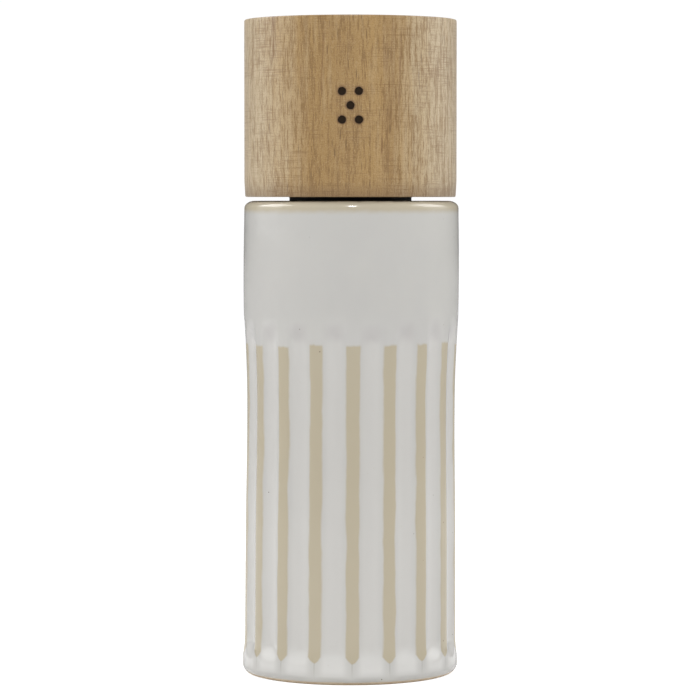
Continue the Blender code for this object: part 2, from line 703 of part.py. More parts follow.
def outer_burr():
    """The fixed ceramic ring, toothed inside, with its wide mouth for whole corns at the top."""
    teeth = tooth_rings(
        OUTLET_RADIUS + TOOTH_DEPTH, BURR_TOP_BORE + TOOTH_DEPTH, UNIT_BOTTOM, BURR_TOP
    )
    rings = teeth + [(BURR_RADIUS, BURR_TOP), (BURR_RADIUS, UNIT_BOTTOM)]
    return stack("outer_burr", rings, LARGE_FACETS, "burr_ceramic")


def inner_burr():
    """The turning ceramic cone, toothed outside, with a hexagonal bore for the carrier."""
    teeth = tooth_rings(CONE_BOTTOM_RADIUS, CONE_TOP_RADIUS, CONE_BOTTOM, CONE_TOP)
    bore = hexagon(CONE_BORE)
    rings = teeth + [(bore, CONE_TOP), (bore, CONE_BOTTOM)]
    return stack("inner_burr", rings, LARGE_FACETS, "burr_ceramic")


def burr_carrier():
    """The plastic core that slides on the shaft and carries the inner burr on its flange."""
    outside = hexagon(CARRIER_FLATS)
    bore = hexagon(SHAFT_BORE)
    rings = [
        (bore, CARRIER_BOTTOM),
        (CARRIER_LIP_RADIUS, CARRIER_BOTTOM),
        (CARRIER_LIP_RADIUS, UNIT_BOTTOM),
        (outside, UNIT_BOTTOM),
        (outside, CARRIER_TOP),
        (bore, CARRIER_TOP),
    ]
    return stack("burr_carrier", rings, SMALL_FACETS, "black_plastic")


def burr_retainer():
    """The plate that closes the burr's seat from below."""
    inner = OUTLET_RADIUS + TOOTH_DEPTH
    return tube(
        "burr_retainer", inner, RETAINER_RADIUS, RETAINER_BOTTOM, RETAINER_TOP, MEDIUM_FACETS,
        "black_plastic",
    )


def adjuster_knob():
    """The lobed knob in the base, with a pocket for its nut and a hole for the thread."""
    pocket = hexagon(POCKET_FLATS)
    pocket_floor = NUT_BOTTOM - SEAT_GAP
    grip = lobed(KNOB_RADIUS, LOBE_HEIGHT)
    rings = [
        (NUT_BORE, KNOB_LIFT),
        (lobed(KNOB_RADIUS - LOBE_HEIGHT, LOBE_HEIGHT), KNOB_LIFT),
        (grip, KNOB_LIFT + LOBE_HEIGHT),
        (grip, KNOB_TOP),
        (pocket, KNOB_TOP),
        (pocket, pocket_floor),
        (NUT_BORE, pocket_floor),
    ]
    return stack("adjuster_knob", rings, MEDIUM_FACETS, "black_plastic")


def adjuster_nut():
    """The brass nut in the knob, which runs on the shaft's thread."""
    flats = hexagon(NUT_FLATS)
    rings = [(NUT_BORE, NUT_BOTTOM), (flats, NUT_BOTTOM), (flats, KNOB_TOP), (NUT_BORE, KNOB_TOP)]
    return stack("adjuster_nut", rings, SHAFT_FACETS, "nut_brass")


def fixed_group():
    housing = grinder_housing()
    retainer = burr_retainer()
    pieces = [
        stoneware_body(),
        mouth_bushing(),
        housing,
        housing_gasket(),
        outer_burr(),
        retainer,
    ]
    head_bottom = RETAINER_BOTTOM - SEAT_GAP - HEAD_HEIGHT
    for i, angle in enumerate(spread(SCREW_COUNT)):
        name = f"retainer_screw_{i + 1}"
        pieces.append(screw(name, RETAINER_SCREW_CIRCLE, angle, head_bottom, (housing, retainer)))
    return pieces


def group(name, pieces, parent=None):
    """Parents the pieces to an empty on the mill's axis, which every joint shares."""
    axis = bpy.data.objects.new(name, None)
    bpy.context.scene.collection.objects.link(axis)
    axis.parent = parent
    for piece in pieces:
        piece.parent = axis
    return axis


def main():
    for old in list(bpy.data.objects):
        bpy.data.objects.remove(old, do_unlink=True)
    body = group("body_axis", fixed_group())
    turning = [
        drive_shaft(),
        drive_bush(),
        shaft_clip(),
        washer("upper_washer", UPPER_WASHER),
        burr_spring(),
    ]
    drive = group("drive_axis", turning, body)
    rotor = group(
        "rotor_axis", [burr_carrier(), inner_burr(), washer("lower_washer", LOWER_WASHER)], drive
    )
    group("adjuster_axis", [adjuster_knob(), adjuster_nut()], rotor)
    group("cap_axis", cap_group(), drive)


main()
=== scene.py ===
"""Looks of a table mill: fluted stoneware body, turned wooden cap and a ceramic grinder in the base.

Each sub-assembly is a class that makes its finer pieces round the frame's bodies and gives each one
its finish. Turned, fluted, toothed and threaded pieces come from one Geometry Nodes tree.
"""

import functools
import logging
import math
from collections.abc import Iterable, Sequence
from dataclasses import dataclass, replace
from enum import Enum

import bmesh
import bpy
from mathutils import Matrix, Vector


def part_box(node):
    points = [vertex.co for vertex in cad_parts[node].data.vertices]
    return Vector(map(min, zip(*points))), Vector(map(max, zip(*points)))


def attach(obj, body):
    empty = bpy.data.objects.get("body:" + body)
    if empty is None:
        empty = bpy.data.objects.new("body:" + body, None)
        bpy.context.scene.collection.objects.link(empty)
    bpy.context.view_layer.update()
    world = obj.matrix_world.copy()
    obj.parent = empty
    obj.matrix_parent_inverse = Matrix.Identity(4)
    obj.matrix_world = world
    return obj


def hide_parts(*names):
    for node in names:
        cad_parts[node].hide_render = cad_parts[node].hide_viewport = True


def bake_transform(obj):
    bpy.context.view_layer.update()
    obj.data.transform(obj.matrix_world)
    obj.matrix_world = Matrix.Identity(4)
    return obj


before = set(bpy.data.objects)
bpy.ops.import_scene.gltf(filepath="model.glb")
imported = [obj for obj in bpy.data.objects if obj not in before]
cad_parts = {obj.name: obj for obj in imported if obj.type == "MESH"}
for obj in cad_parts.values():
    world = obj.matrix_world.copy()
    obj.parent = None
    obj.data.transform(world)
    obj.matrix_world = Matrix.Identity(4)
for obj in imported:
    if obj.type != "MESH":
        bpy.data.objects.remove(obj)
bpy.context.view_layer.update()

LOG = logging.getLogger("mill")
MM = 0.001
TURN = 2 * math.pi
FRONT = -math.pi / 2  # the side with the mark faces -Y
HEX_CORNER = 1 / math.cos(math.pi / 6)  # a hexagon's corner radius, per unit of half its flats
WELD = 1e-6  # points nearer than this are one point

Colour = tuple[float, float, float]


# Wiring of shader and geometry trees


class Signal:
    """A value that flows from a node. Arithmetic on it adds Math nodes."""

    def __init__(self, wiring: "Wiring", socket: bpy.types.NodeSocket) -> None:
        """Keeps the output socket and the wiring of its tree."""
        self.wiring = wiring
        self.socket = socket

    def __add__(self, other: "Value") -> "Signal":
        """The sum of the two."""
        return self.wiring.math("ADD", self, other)

    def __sub__(self, other: "Value") -> "Signal":
        """This value less the other."""
        return self.wiring.math("SUBTRACT", self, other)

    def __rsub__(self, other: "Value") -> "Signal":
        """The other value less this one."""
        return self.wiring.math("SUBTRACT", other, self)

    def __mul__(self, other: "Value") -> "Signal":
        """The product of the two."""
        return self.wiring.math("MULTIPLY", self, other)

    def __truediv__(self, other: "Value") -> "Signal":
        """This value over the other."""
        return self.wiring.math("DIVIDE", self, other)

    def __rtruediv__(self, other: "Value") -> "Signal":
        """The other value over this one."""
        return self.wiring.math("DIVIDE", other, self)

    def __mod__(self, other: "Value") -> "Signal":
        """The rest after whole steps of the other, never below zero."""
        return self.wiring.math("FLOORED_MODULO", self, other)

    def __abs__(self) -> "Signal":
        """The value without its sign."""
        return self.wiring.math("ABSOLUTE", self)

    __radd__ = __add__
    __rmul__ = __mul__

    def held(self) -> "Signal":
        """The same value, held between 0 and 1."""
        self.socket.node.use_clamp = True
        return self

    def span(self, low: float, high: float, out_low: float = 0.0, out_high: float = 1.0) -> "Signal":
        """The value mapped smoothly from one range to another, and held at its ends."""
        ends = {0: self, 1: low, 2: high, 3: out_low, 4: out_high}
        return self.wiring.made("ShaderNodeMapRange", ends, interpolation_type="SMOOTHSTEP")


Value = Signal | float | int | Sequence[float] | bool
Feeds = dict[int | str, Value]


class Wiring:
    """Adds nodes to a tree and joins them, by link or by value."""

    def __init__(self, tree: bpy.types.NodeTree) -> None:
        """Keeps the tree that the nodes go into."""
        self.tree = tree

    def feed(self, socket: bpy.types.NodeSocket, value: Value) -> None:
        """Links a signal to a socket, or sets the socket's value.

        Args:
            socket: the input.
            value: a signal, or a constant.
        """
        if isinstance(value, Signal):
            self.tree.links.new(value.socket, socket)
        elif socket.type == "RGBA" and len(value) == 3:
            socket.default_value = (*value, 1.0)
        else:
            socket.default_value = value

    def add(self, kind: str, inputs: Feeds | None = None, **settings: object) -> bpy.types.Node:
        """Adds one node.

        Args:
            kind: the node's type.
            inputs: what each input is fed with, by index or name.
            settings: the node's own properties.

        Returns:
            The node.
        """
        node = self.tree.nodes.new(kind)
        for name, value in settings.items():
            setattr(node, name, value)
        for key, value in (inputs or {}).items():
            self.feed(node.inputs[key], value)
        return node

    def made(
        self, kind: str, inputs: Feeds | None = None, output: int | str = 0, **settings: object
    ) -> Signal:
        """One output of a new node."""
        return Signal(self, self.add(kind, inputs, **settings).outputs[output])

    def math(self, operation: str, a: Value, b: Value = 0.0) -> Signal:
        """The result of a Math node."""
        return self.made("ShaderNodeMath", {0: a, 1: b}, operation=operation)

    def blend(self, factor: Value, a: Value, b: Value) -> Signal:
        """Two colours mixed, the factor being the share of the second one."""
        return self.made("ShaderNodeMix", {0: factor, 6: a, 7: b}, 2, data_type="RGBA")

    def place(self) -> Signal:
        """The point in the piece's own coordinates."""
        return self.made("ShaderNodeTexCoord", output="Object")

    def marked(self, name: str) -> Signal:
        """A named value that the turning tree has stored on the piece."""
        return self.made("ShaderNodeAttribute", output="Fac", attribute_name=name)

    def scaled(self, vector: Value, along: float, across: float = 1.0) -> Signal:
        """A vector with its height and its two level parts scaled."""
        scale = (across, across, along)
        return self.made("ShaderNodeVectorMath", {0: vector, 1: scale}, operation="MULTIPLY")

    def noise(self, vector: Value, scale: Value, detail: float = 2.0, rough: float = 0.5) -> Signal:
        """The grey value of a noise texture."""
        inputs = {"Vector": vector, "Scale": scale, "Detail": detail, "Roughness": rough}
        return self.made("ShaderNodeTexNoise", inputs)

    def wander(self, vector: Value, scale: float, detail: float, rough: float, reach: float) -> Signal:
        """A noise that goes to both sides of zero, with its whole reach."""
        return (self.noise(vector, scale, detail, rough) - 0.5) * reach

    def parts(self, vector: Value) -> list[Signal]:
        """The three parts of a vector."""
        return [Signal(self, output) for output in self.add("ShaderNodeSeparateXYZ", {0: vector}).outputs]

    def length(self, x: Signal, y: Signal) -> Signal:
        """The length of a level vector."""
        return self.math("SQRT", x * x + y * y)

    def vector(self, x: Value, y: Value, z: Value) -> Signal:
        """A vector from three values."""
        return self.made("ShaderNodeCombineXYZ", {0: x, 1: y, 2: z})

    def polar(self, radius: Signal, angle: Signal, height: Value) -> tuple[Signal, Signal, Value]:
        """The three parts of a point given round the axis."""
        return radius * self.math("COSINE", angle), radius * self.math("SINE", angle), height

    def shared(self, group: bpy.types.NodeTree, **inputs: Value) -> dict[str, Signal]:
        """Places a shader node group.

        Args:
            group: the node group.
            inputs: its values, by name with spaces as underscores.

        Returns:
            The group's outputs, by name.
        """
        named = {name.replace("_", " ").capitalize(): value for name, value in inputs.items()}
        node = self.add("ShaderNodeGroup", node_tree=group)
        for name, value in named.items():
            self.feed(node.inputs[name], value)
        return {output.name: Signal(self, output) for output in node.outputs}


def open_group(name: str, kind: str, inputs: dict[str, tuple[str, object]], outputs: dict[str, str]) -> tuple:
    """A new node group with named sockets.

    Args:
        name: the group's name.
        kind: the tree's type.
        inputs: the type and the default of each input, by name.
        outputs: the type of each output, by name.

    Returns:
        The wiring, the inputs' signals by name, and the group's output node.
    """
    tree = bpy.data.node_groups.new(name, kind)
    for label, (socket, default) in inputs.items():
        made = tree.interface.new_socket(label, in_out="INPUT", socket_type=f"NodeSocket{socket}")
        if default is not None:
            made.default_value = default
    for label, socket in outputs.items():
        tree.interface.new_socket(label, in_out="OUTPUT", socket_type=f"NodeSocket{socket}")
    wiring = Wiring(tree)
    entry = wiring.add("NodeGroupInput")
    leave = wiring.add("NodeGroupOutput")
    return wiring, {socket.name: Signal(wiring, socket) for socket in entry.outputs if socket.name}, leave


# Shared effects of the finishes


@functools.cache
def grain_group() -> bpy.types.NodeTree:
    """Fine cast or moulded grain: a height for the bump and a mottle for colour and roughness."""
    inputs = {"Grains per metre": ("Float", 2000.0), "Patches per metre": ("Float", 120.0)}
    wiring, given, leave = open_group(
        "fine_grain", "ShaderNodeTree", inputs, {"Height": "Float", "Mottle": "Float"}
    )
    place = wiring.place()
    wiring.feed(leave.inputs["Height"], wiring.noise(place, given["Grains per metre"], 3.0, 0.6))
    patches = wiring.noise(place, given["Patches per metre"], 4.0, 0.6)
    wiring.feed(leave.inputs["Mottle"], patches.span(0.3, 0.7))
    return wiring.tree


@functools.cache
def speckle_group() -> bpy.types.NodeTree:
    """Scattered specks: a mask that is 1 in a speck."""
    inputs = {"Cells per metre": ("Float", 400.0), "Size": ("Float", 0.12), "Share": ("Float", 0.1)}
    wiring, given, leave = open_group("speckle", "ShaderNodeTree", inputs, {"Mask": "Float"})
    cells = wiring.add("ShaderNodeTexVoronoi", {"Vector": wiring.place(), "Scale": given["Cells per metre"]})
    draw = wiring.parts(Signal(wiring, cells.outputs["Color"]))
    size = given["Size"] * (draw[1] + 0.3)
    inside = (1.0 - Signal(wiring, cells.outputs["Distance"]) / size).held()
    chosen = wiring.math("LESS_THAN", draw[0], given["Share"])
    wiring.feed(leave.inputs["Mask"], inside.span(0.0, 0.5) * chosen)
    return wiring.tree


@functools.cache
def lathe_group() -> bpy.types.NodeTree:
    """Fine rings left by turning: a height that depends on the height and the distance from the axis."""
    inputs = {"Lines per metre": ("Float", 3000.0), "Patches per metre": ("Float", 150.0)}
    wiring, given, leave = open_group(
        "lathe_lines", "ShaderNodeTree", inputs, {"Height": "Float", "Patches": "Float"}
    )
    place = wiring.place()
    x, y, z = wiring.parts(place)
    rings = wiring.vector(wiring.length(x, y), 0.0, z)
    slow = wiring.scaled(place, 0.0, 0.02)
    turned_place = wiring.made("ShaderNodeVectorMath", {0: slow, 1: rings}, operation="ADD")
    wiring.feed(leave.inputs["Height"], wiring.noise(turned_place, given["Lines per metre"], 2.0, 0.6))
    patches = wiring.noise(place, given["Patches per metre"], 3.0, 0.6)
    wiring.feed(leave.inputs["Patches"], patches.span(0.4, 0.62))
    return wiring.tree


# Finishes


@dataclass(frozen=True)
class Finish:
    """What every finish has: a name, the slot that it belongs to, and its base colour."""

    name: str
    slot: str
    colour: Colour

    def material(self) -> bpy.types.Material:
        """The material, made the first time that it is asked for."""
        made = bpy.data.materials.get(self.name)
        if made is None:
            made = bpy.data.materials.new(self.name)
            made.use_nodes = True
            made.diffuse_color = (*self.colour, 1.0)
            shader = made.node_tree.nodes["Principled BSDF"]
            shader.inputs["Base Color"].default_value = (*self.colour, 1.0)
            self.paint(Wiring(made.node_tree), shader)
        return made

    def paint(self, wiring: Wiring, shader: bpy.types.Node) -> None:
        """Wires the finish's own detail into the shader."""
        raise NotImplementedError

    @staticmethod
    def dress(
        wiring: Wiring, shader: bpy.types.Node, colour: Signal, rough: Signal, relief: Signal, depth: float
    ) -> None:
        """Feeds the shader.

        Args:
            wiring: the material's wiring.
            shader: the Principled BSDF.
            colour: the base colour.
            rough: the roughness.
            relief: the relief's height, about 0 to 1.
            depth: how deep the relief is, in metres.
        """
        wiring.feed(shader.inputs["Base Color"], colour)
        wiring.feed(shader.inputs["Roughness"], rough)
        bump = wiring.made("ShaderNodeBump", {"Strength": 1.0, "Distance": depth, "Height": relief})
        wiring.feed(shader.inputs["Normal"], bump)


@dataclass(frozen=True)
class GlazedStoneware(Finish):
    """Off-white glaze that breaks to tan where it runs thin, over a clay that shows at the foot."""

    name: str = "off_white_glaze"
    slot: str = "glazed_stoneware"
    colour: Colour = (0.533, 0.524, 0.497)
    cloudy: Colour = (0.512, 0.503, 0.484)
    hollow: Colour = (0.558, 0.546, 0.522)
    # painted shade where each flute runs out under the plain band
    runout_shade: Colour = (0.480, 0.462, 0.450)
    # paler pooled glaze with a painted highlight on the lobe at each flute's foot
    pooled_and_lit: Colour = (0.640, 0.630, 0.608)
    thin: Colour = (0.446, 0.388, 0.276)
    # painted shade along the crease below each land
    crease_shade: Colour = (0.330, 0.310, 0.280)
    band: Colour = (0.475, 0.420, 0.315)
    # thin glaze on the rim's top edge, darkened with painted shade from the cap above
    edge: Colour = (0.190, 0.150, 0.105)
    clay: Colour = (0.570, 0.470, 0.340)
    grog: Colour = (0.480, 0.360, 0.240)
    speck: Colour = (0.110, 0.085, 0.060)
    land_half: float = 1.78 * MM
    land_top: float = 86.4 * MM
    land_tip: float = 5.4 * MM
    rim: float = 123.13 * MM
    crown: float = 25.6 * MM
    recess: float = 23.9 * MM
    relief: float = 0.10 * MM

    def paint(self, wiring: Wiring, shader: bpy.types.Node) -> None:
        """Base glaze, pooled flutes, thin lands, rim and foot, specks, and the glaze's soft ripple; painted
        shade at the flute run-outs, in the creases and on the rim's top edge, and a painted highlight at each
        flute's foot.
        """
        place = wiring.place()
        x, y, z = wiring.parts(place)
        across = wiring.length(x, y)
        ridge = wiring.marked("from_ridge")
        small = wiring.noise(place, 420.0, 3.0, 0.6)
        land = self.land(wiring, place, ridge, z)
        rim, rim_edge_shade = self.rim_masks(across, z, small)
        specks = wiring.shared(speckle_group(), cells_per_metre=380.0, size=0.075, share=0.16)["Mask"]
        pores = wiring.shared(speckle_group(), cells_per_metre=700.0, size=0.13, share=0.16)["Mask"]
        bare = self.bare_clay(wiring, across, z, small)

        colour: Value = self.colour
        for mask, tint in (
            (wiring.noise(place, 38.0, 3.0, 0.55).span(0.35, 0.68), self.cloudy),
            (wiring.marked("hollow").span(0.15, 0.85), self.hollow),
            # painted shade at the flute run-outs
            (self.runout_shade_mask(wiring, place, ridge, z), self.runout_shade),
            # pooled glaze and painted highlight at the flute feet
            (self.pool_and_highlight(ridge, z), self.pooled_and_lit),
            (land, self.thin),
            # painted shade in the creases between the lobes
            (self.crease_shade_mask(ridge, z), self.crease_shade),
            (rim, self.band),
            # painted shade on the rim's top edge under the cap
            (rim_edge_shade, self.edge),
            (specks * 0.75, self.speck),
            (pores * 0.16, self.thin),
            (bare, wiring.blend(small.span(0.35, 0.7), self.clay, self.grog)),
        ):
            colour = wiring.blend(mask, colour, tint)
        rough = (small.span(0.3, 0.8, 0.10, 0.17) + land * 0.03 + bare * 0.65).held()
        rubbed = wiring.noise(place, 2600.0, 2.0, 0.6) * (bare * 0.6 + 0.02)
        relief = wiring.noise(place, 170.0) + rubbed - pores * 0.12 + self.lobes(ridge, z)
        self.dress(wiring, shader, colour, rough, relief, self.relief)

    def pool_and_highlight(self, ridge: Signal, z: Signal) -> Signal:
        """A mask for the paler thick glaze at the foot of each flute, which also carries a painted highlight
        on each lobe.
        """
        level = z.span(1.5 * MM, 4.0 * MM) * z.span(6.5 * MM, 10.5 * MM, 0.85, 0.0)
        return level * ridge.span(0.4 * MM, 3.0 * MM)

    def runout_shade_mask(self, wiring: Wiring, place: Signal, ridge: Signal, z: Signal) -> Signal:
        """A mask for painted shade where each flute runs out under the plain band and its surface slopes down
        into the flute.
        """
        off = abs(z + wiring.wander(place, 150.0, 2.0, 0.5, 5.0 * MM) - 89.6 * MM)
        return off.span(0.0, 3.4 * MM, 0.8, 0.0) * ridge.span(0.6 * MM, 4.6 * MM)

    def land(self, wiring: Wiring, place: Signal, ridge: Signal, z: Signal) -> Signal:
        """A mask for the land between two flutes, where the glaze runs thin, with wavering edges."""
        wander = wiring.wander(wiring.scaled(place, 0.35), 260.0, 3.0, 0.55, 1.3 * MM)
        up = ((z - self.land_tip) / (1.9 * MM)).held()
        narrow = (1.0 - wiring.math("POWER", up, 0.5)) * (self.land_half + 0.7 * MM)
        top = z + wiring.marked("ridge_lift") + wander * 1.8
        below = top.span(self.land_top - 0.45 * MM, self.land_top + 0.40 * MM, 0.92, 0.0)
        near, far = self.land_half - 0.40 * MM, self.land_half + 0.28 * MM
        edge = (ridge + wander + narrow).span(near, far, 1.0, 0.0)
        return edge * below

    def lobes(self, ridge: Signal, z: Signal) -> Signal:
        """The relief of the glaze that has run down into a lobe at the foot of each flute."""
        level = z.span(0.3 * MM, 2.5 * MM) * z.span(5.0 * MM, 9.0 * MM, 1.0, 0.0)
        return ridge.span(-1.2 * MM, 3.6 * MM, 0.0, 3.8) * level

    def crease_shade_mask(self, ridge: Signal, z: Signal) -> Signal:
        """A mask for painted shade along the fine crease below each land, between the lobes."""
        level = z.span(1.5 * MM, 5.0 * MM) * z.span(self.land_tip, self.land_tip + 0.8 * MM, 0.35, 0.0)
        return ridge.span(0.05 * MM, 0.40 * MM, 1.0, 0.0) * level

    def rim_masks(self, across: Signal, z: Signal, small: Signal) -> tuple[Signal, Signal]:
        """Masks for the tan band at the rim, and for the thin glaze on its top edge darkened with painted
        shade from the cap above.
        """
        down = self.rim - z + (small - 0.5) * (0.9 * MM)
        outside = across.span(self.crown - 0.6 * MM, self.crown, 0.25, 0.6)
        return down.span(1.9 * MM, 3.7 * MM, 0.95, 0.0), down.span(0.05 * MM, 0.36 * MM, 1.0, 0.0) * outside

    def bare_clay(self, wiring: Wiring, across: Signal, z: Signal, small: Signal) -> Signal:
        """A mask for the unglazed foot ring and the recess inside it."""
        foot = (z + (small - 0.5) * (0.5 * MM)).span(0.70 * MM, 1.10 * MM, 1.0, 0.0)
        inside = across.span(self.recess, self.recess + 0.3 * MM, 1.0, 0.0)
        return wiring.math("MAXIMUM", foot, inside * z.span(17.0 * MM, 17.6 * MM, 1.0, 0.0))


@dataclass(frozen=True)
class Streak:
    """A dark streak along the grain, in millimetres: its place across, its reach, its width and strength."""

    across: float
    low: float
    high: float
    width: float
    strength: float


@dataclass(frozen=True)
class TurnedWood(Finish):
    """Light wood turned across its grain, oiled, with a mark of five burned dots."""

    name: str = "oiled_wood"
    slot: str = "turned_wood"
    colour: Colour = (0.398, 0.251, 0.097)
    late: Colour = (0.212, 0.116, 0.036)
    pale: Colour = (0.480, 0.345, 0.180)
    # painted sheen: the reflection of the side lights on the left and right of the cap
    side_sheen: Colour = (0.545, 0.458, 0.316)
    grit: Colour = (0.520, 0.390, 0.220)
    pore: Colour = (0.085, 0.040, 0.014)
    streak: Colour = (0.170, 0.080, 0.028)
    # painted shade along the cap's lower edge, above the gap
    lower_edge_shade: Colour = (0.150, 0.085, 0.040)
    scorched: Colour = (0.160, 0.080, 0.034)
    char: Colour = (0.014, 0.008, 0.004)
    mark_height: float = 147.2 * MM
    mark_reach: tuple[float, float] = (2.15 * MM, 3.6 * MM)
    dot_radius: float = 1.1 * MM
    bottom: float = 124.1 * MM
    ring: float = 3.4 * MM
    heart: tuple[float, float] = (14.0 * MM, 62.0 * MM)
    relief: float = 0.05 * MM
    streaks: tuple[Streak, ...] = (
        Streak(-19.6, 156.0, 175.0, 0.95, 0.85),
        Streak(-7.0, 148.0, 168.0, 0.60, 0.40),
        Streak(-12.5, 147.0, 160.0, 0.50, 0.45),
        Streak(9.5, 126.0, 170.0, 2.60, 0.32),
        Streak(8.0, 130.0, 141.0, 0.45, 0.95),
        Streak(12.5, 142.0, 168.0, 0.60, 0.50),
        Streak(22.0, 146.0, 162.0, 0.50, 0.45),
    )

    def paint(self, wiring: Wiring, shader: bpy.types.Node) -> None:
        """Annual bands, a painted sheen on the left and right sides, fibres, grit, pores, streaks, turning
        lines, painted shade along the lower edge, and the burned mark.
        """
        place = wiring.place()
        x, y, z = wiring.parts(place)
        front = wiring.math("LESS_THAN", y, 0.0)
        along = wiring.scaled(place, 0.055)
        fine = wiring.noise(wiring.scaled(place, 0.11), 3300.0, 2.0, 0.6)
        fibres = wiring.noise(along, 1100.0, 4.0, 0.65) * 0.5 + fine * 0.5
        pale = wiring.noise(wiring.scaled(place, 0.09), 620.0, 3.0, 0.6)
        # how far towards the left or right side a point lies, for the painted sheen
        reach = abs(x + 1.0 * MM) + wiring.wander(along, 420.0, 4.0, 0.7, 20.0 * MM)
        grit = wiring.noise(place, 3400.0, 2.0, 0.7)
        pores = self.pores(wiring, place)
        lathe = wiring.shared(lathe_group(), lines_per_metre=5200.0, patches_per_metre=120.0)
        lines = lathe["Height"].span(0.50, 0.64) * (lathe["Patches"] + 0.25)
        char, scorch = self.burned(wiring, place, x, z, front)

        layers = [
            (self.bands(wiring, place, x, y) * 0.22, self.late),
            # painted sheen, paler towards the left and right sides
            (reach.span(7.0 * MM, 25.0 * MM, 0.0, 0.80), self.side_sheen),
            (fibres.span(0.46, 0.60, 0.0, 0.78), self.late),
            (pale.span(0.52, 0.74, 0.0, 0.42), self.pale),
            (grit.span(0.50, 0.72, 0.0, 0.55), self.late),
            (grit.span(0.28, 0.48, 0.40, 0.0), self.grit),
            (pores * 0.62, self.pore),
        ]
        layers += [
            (self.streak_mask(wiring, place, x, z, streak) * front, self.streak) for streak in self.streaks
        ]
        layers += [
            (lines * 0.45, self.late),
            # painted shade: darker towards the cap's lower edge
            (z.span(self.bottom, self.bottom + 5.0 * MM, 0.48, 0.0), self.lower_edge_shade),
            (scorch, self.scorched),
            (char, self.char),
        ]
        colour: Value = self.colour
        for mask, tint in layers:
            colour = wiring.blend(mask, colour, tint)
        unburned = 1.0 - char * 0.8
        wiring.feed(shader.inputs["Specular IOR Level"], unburned * 0.5)
        wiring.feed(shader.inputs["Sheen Weight"], unburned * 0.15)
        shader.inputs["Sheen Roughness"].default_value = 0.45
        rough = (fibres.span(0.35, 0.7, 0.36, 0.50) + char * 0.25).held()
        relief = fibres * 0.5 + lines * 0.3 - pores * 0.9
        self.dress(wiring, shader, colour, rough, relief, self.relief)

    def bands(self, wiring: Wiring, place: Signal, x: Signal, y: Signal) -> Signal:
        """Growth bands as they cross a blank cut a little off the tree's heart."""
        bend = wiring.wander(wiring.scaled(place, 0.12), 30.0, 3.0, 0.5, 9.0 * MM)
        away = wiring.length(x - self.heart[0] + bend, y - self.heart[1])
        phase = wiring.math("FRACT", away / self.ring)
        return phase.span(0.25, 0.88) * phase.span(0.90, 1.0, 1.0, 0.0)

    def pores(self, wiring: Wiring, place: Signal) -> Signal:
        """A mask for short dark pores along the grain."""
        cells = wiring.add("ShaderNodeTexVoronoi", {"Vector": wiring.scaled(place, 0.10), "Scale": 1500.0})
        draw = wiring.parts(Signal(wiring, cells.outputs["Color"]))[0]
        core = Signal(wiring, cells.outputs["Distance"]).span(0.10, 0.30, 1.0, 0.0)
        patch = wiring.noise(wiring.scaled(place, 0.3), 90.0).span(0.42, 0.62, 0.35, 1.0)
        return core * wiring.math("LESS_THAN", draw, 0.30) * patch

    def streak_mask(self, wiring: Wiring, place: Signal, x: Signal, z: Signal, streak: Streak) -> Signal:
        """A mask for one dark streak, broken up along its fibres."""
        fade = 4.0 * MM
        low, high, width = streak.low * MM, streak.high * MM, streak.width * MM
        wander = wiring.wander(wiring.scaled(place, 0.4), 160.0, 2.0, 0.5, 1.6 * MM)
        off = abs(x - streak.across * MM + wander)
        level = z.span(low, low + fade) * z.span(high - fade, high, 1.0, 0.0)
        broken = wiring.noise(wiring.scaled(place, 0.07), 2400.0, 3.0, 0.6).span(0.40, 0.60)
        return off.span(width * 0.15, width, streak.strength, 0.0) * level * broken

    def burned(
        self, wiring: Wiring, place: Signal, x: Signal, z: Signal, front: Signal
    ) -> tuple[Signal, Signal]:
        """Masks for the char in the five dots and for the scorched wood round them."""
        up, corner = abs(z - self.mark_height), self.mark_reach
        middle = wiring.length(x, up)
        outer = wiring.length(abs(x) - corner[0], up - corner[1])
        away = wiring.math("MINIMUM", middle, outer) + wiring.wander(place, 1400.0, 2.0, 0.6, 0.30 * MM)
        char = away.span(self.dot_radius - 0.16 * MM, self.dot_radius + 0.10 * MM, 0.97, 0.0)
        scorch = away.span(self.dot_radius, self.dot_radius + 0.55 * MM, 0.65, 0.0)
        return char * front, scorch * front


@dataclass(frozen=True)
class Moulded(Finish):
    """Moulded plastic or silicone: fine grain, faint mottle, and a soft gloss."""

    roughness: tuple[float, float] = (0.34, 0.46)
    grains: float = 2600.0
    depth: float = 0.02 * MM
    dusty: Colour = (0.030, 0.028, 0.026)
    subsurface: float = 0.0

    def paint(self, wiring: Wiring, shader: bpy.types.Node) -> None:
        """Mottled colour and roughness over a fine grain."""
        grain = wiring.shared(grain_group(), grains_per_metre=self.grains, patches_per_metre=90.0)
        mottle = grain["Mottle"]
        shader.inputs["Specular IOR Level"].default_value = 0.3
        shader.inputs["Subsurface Weight"].default_value = self.subsurface
        shader.inputs["Subsurface Radius"].default_value = (1.0 * MM, 1.0 * MM, 0.9 * MM)
        shader.inputs["Subsurface Scale"].default_value = 1.0
        colour = wiring.blend(mottle * 0.5, self.colour, self.dusty)
        rough = mottle.span(0.0, 1.0, *self.roughness)
        self.dress(wiring, shader, colour, rough, grain["Height"], self.depth)


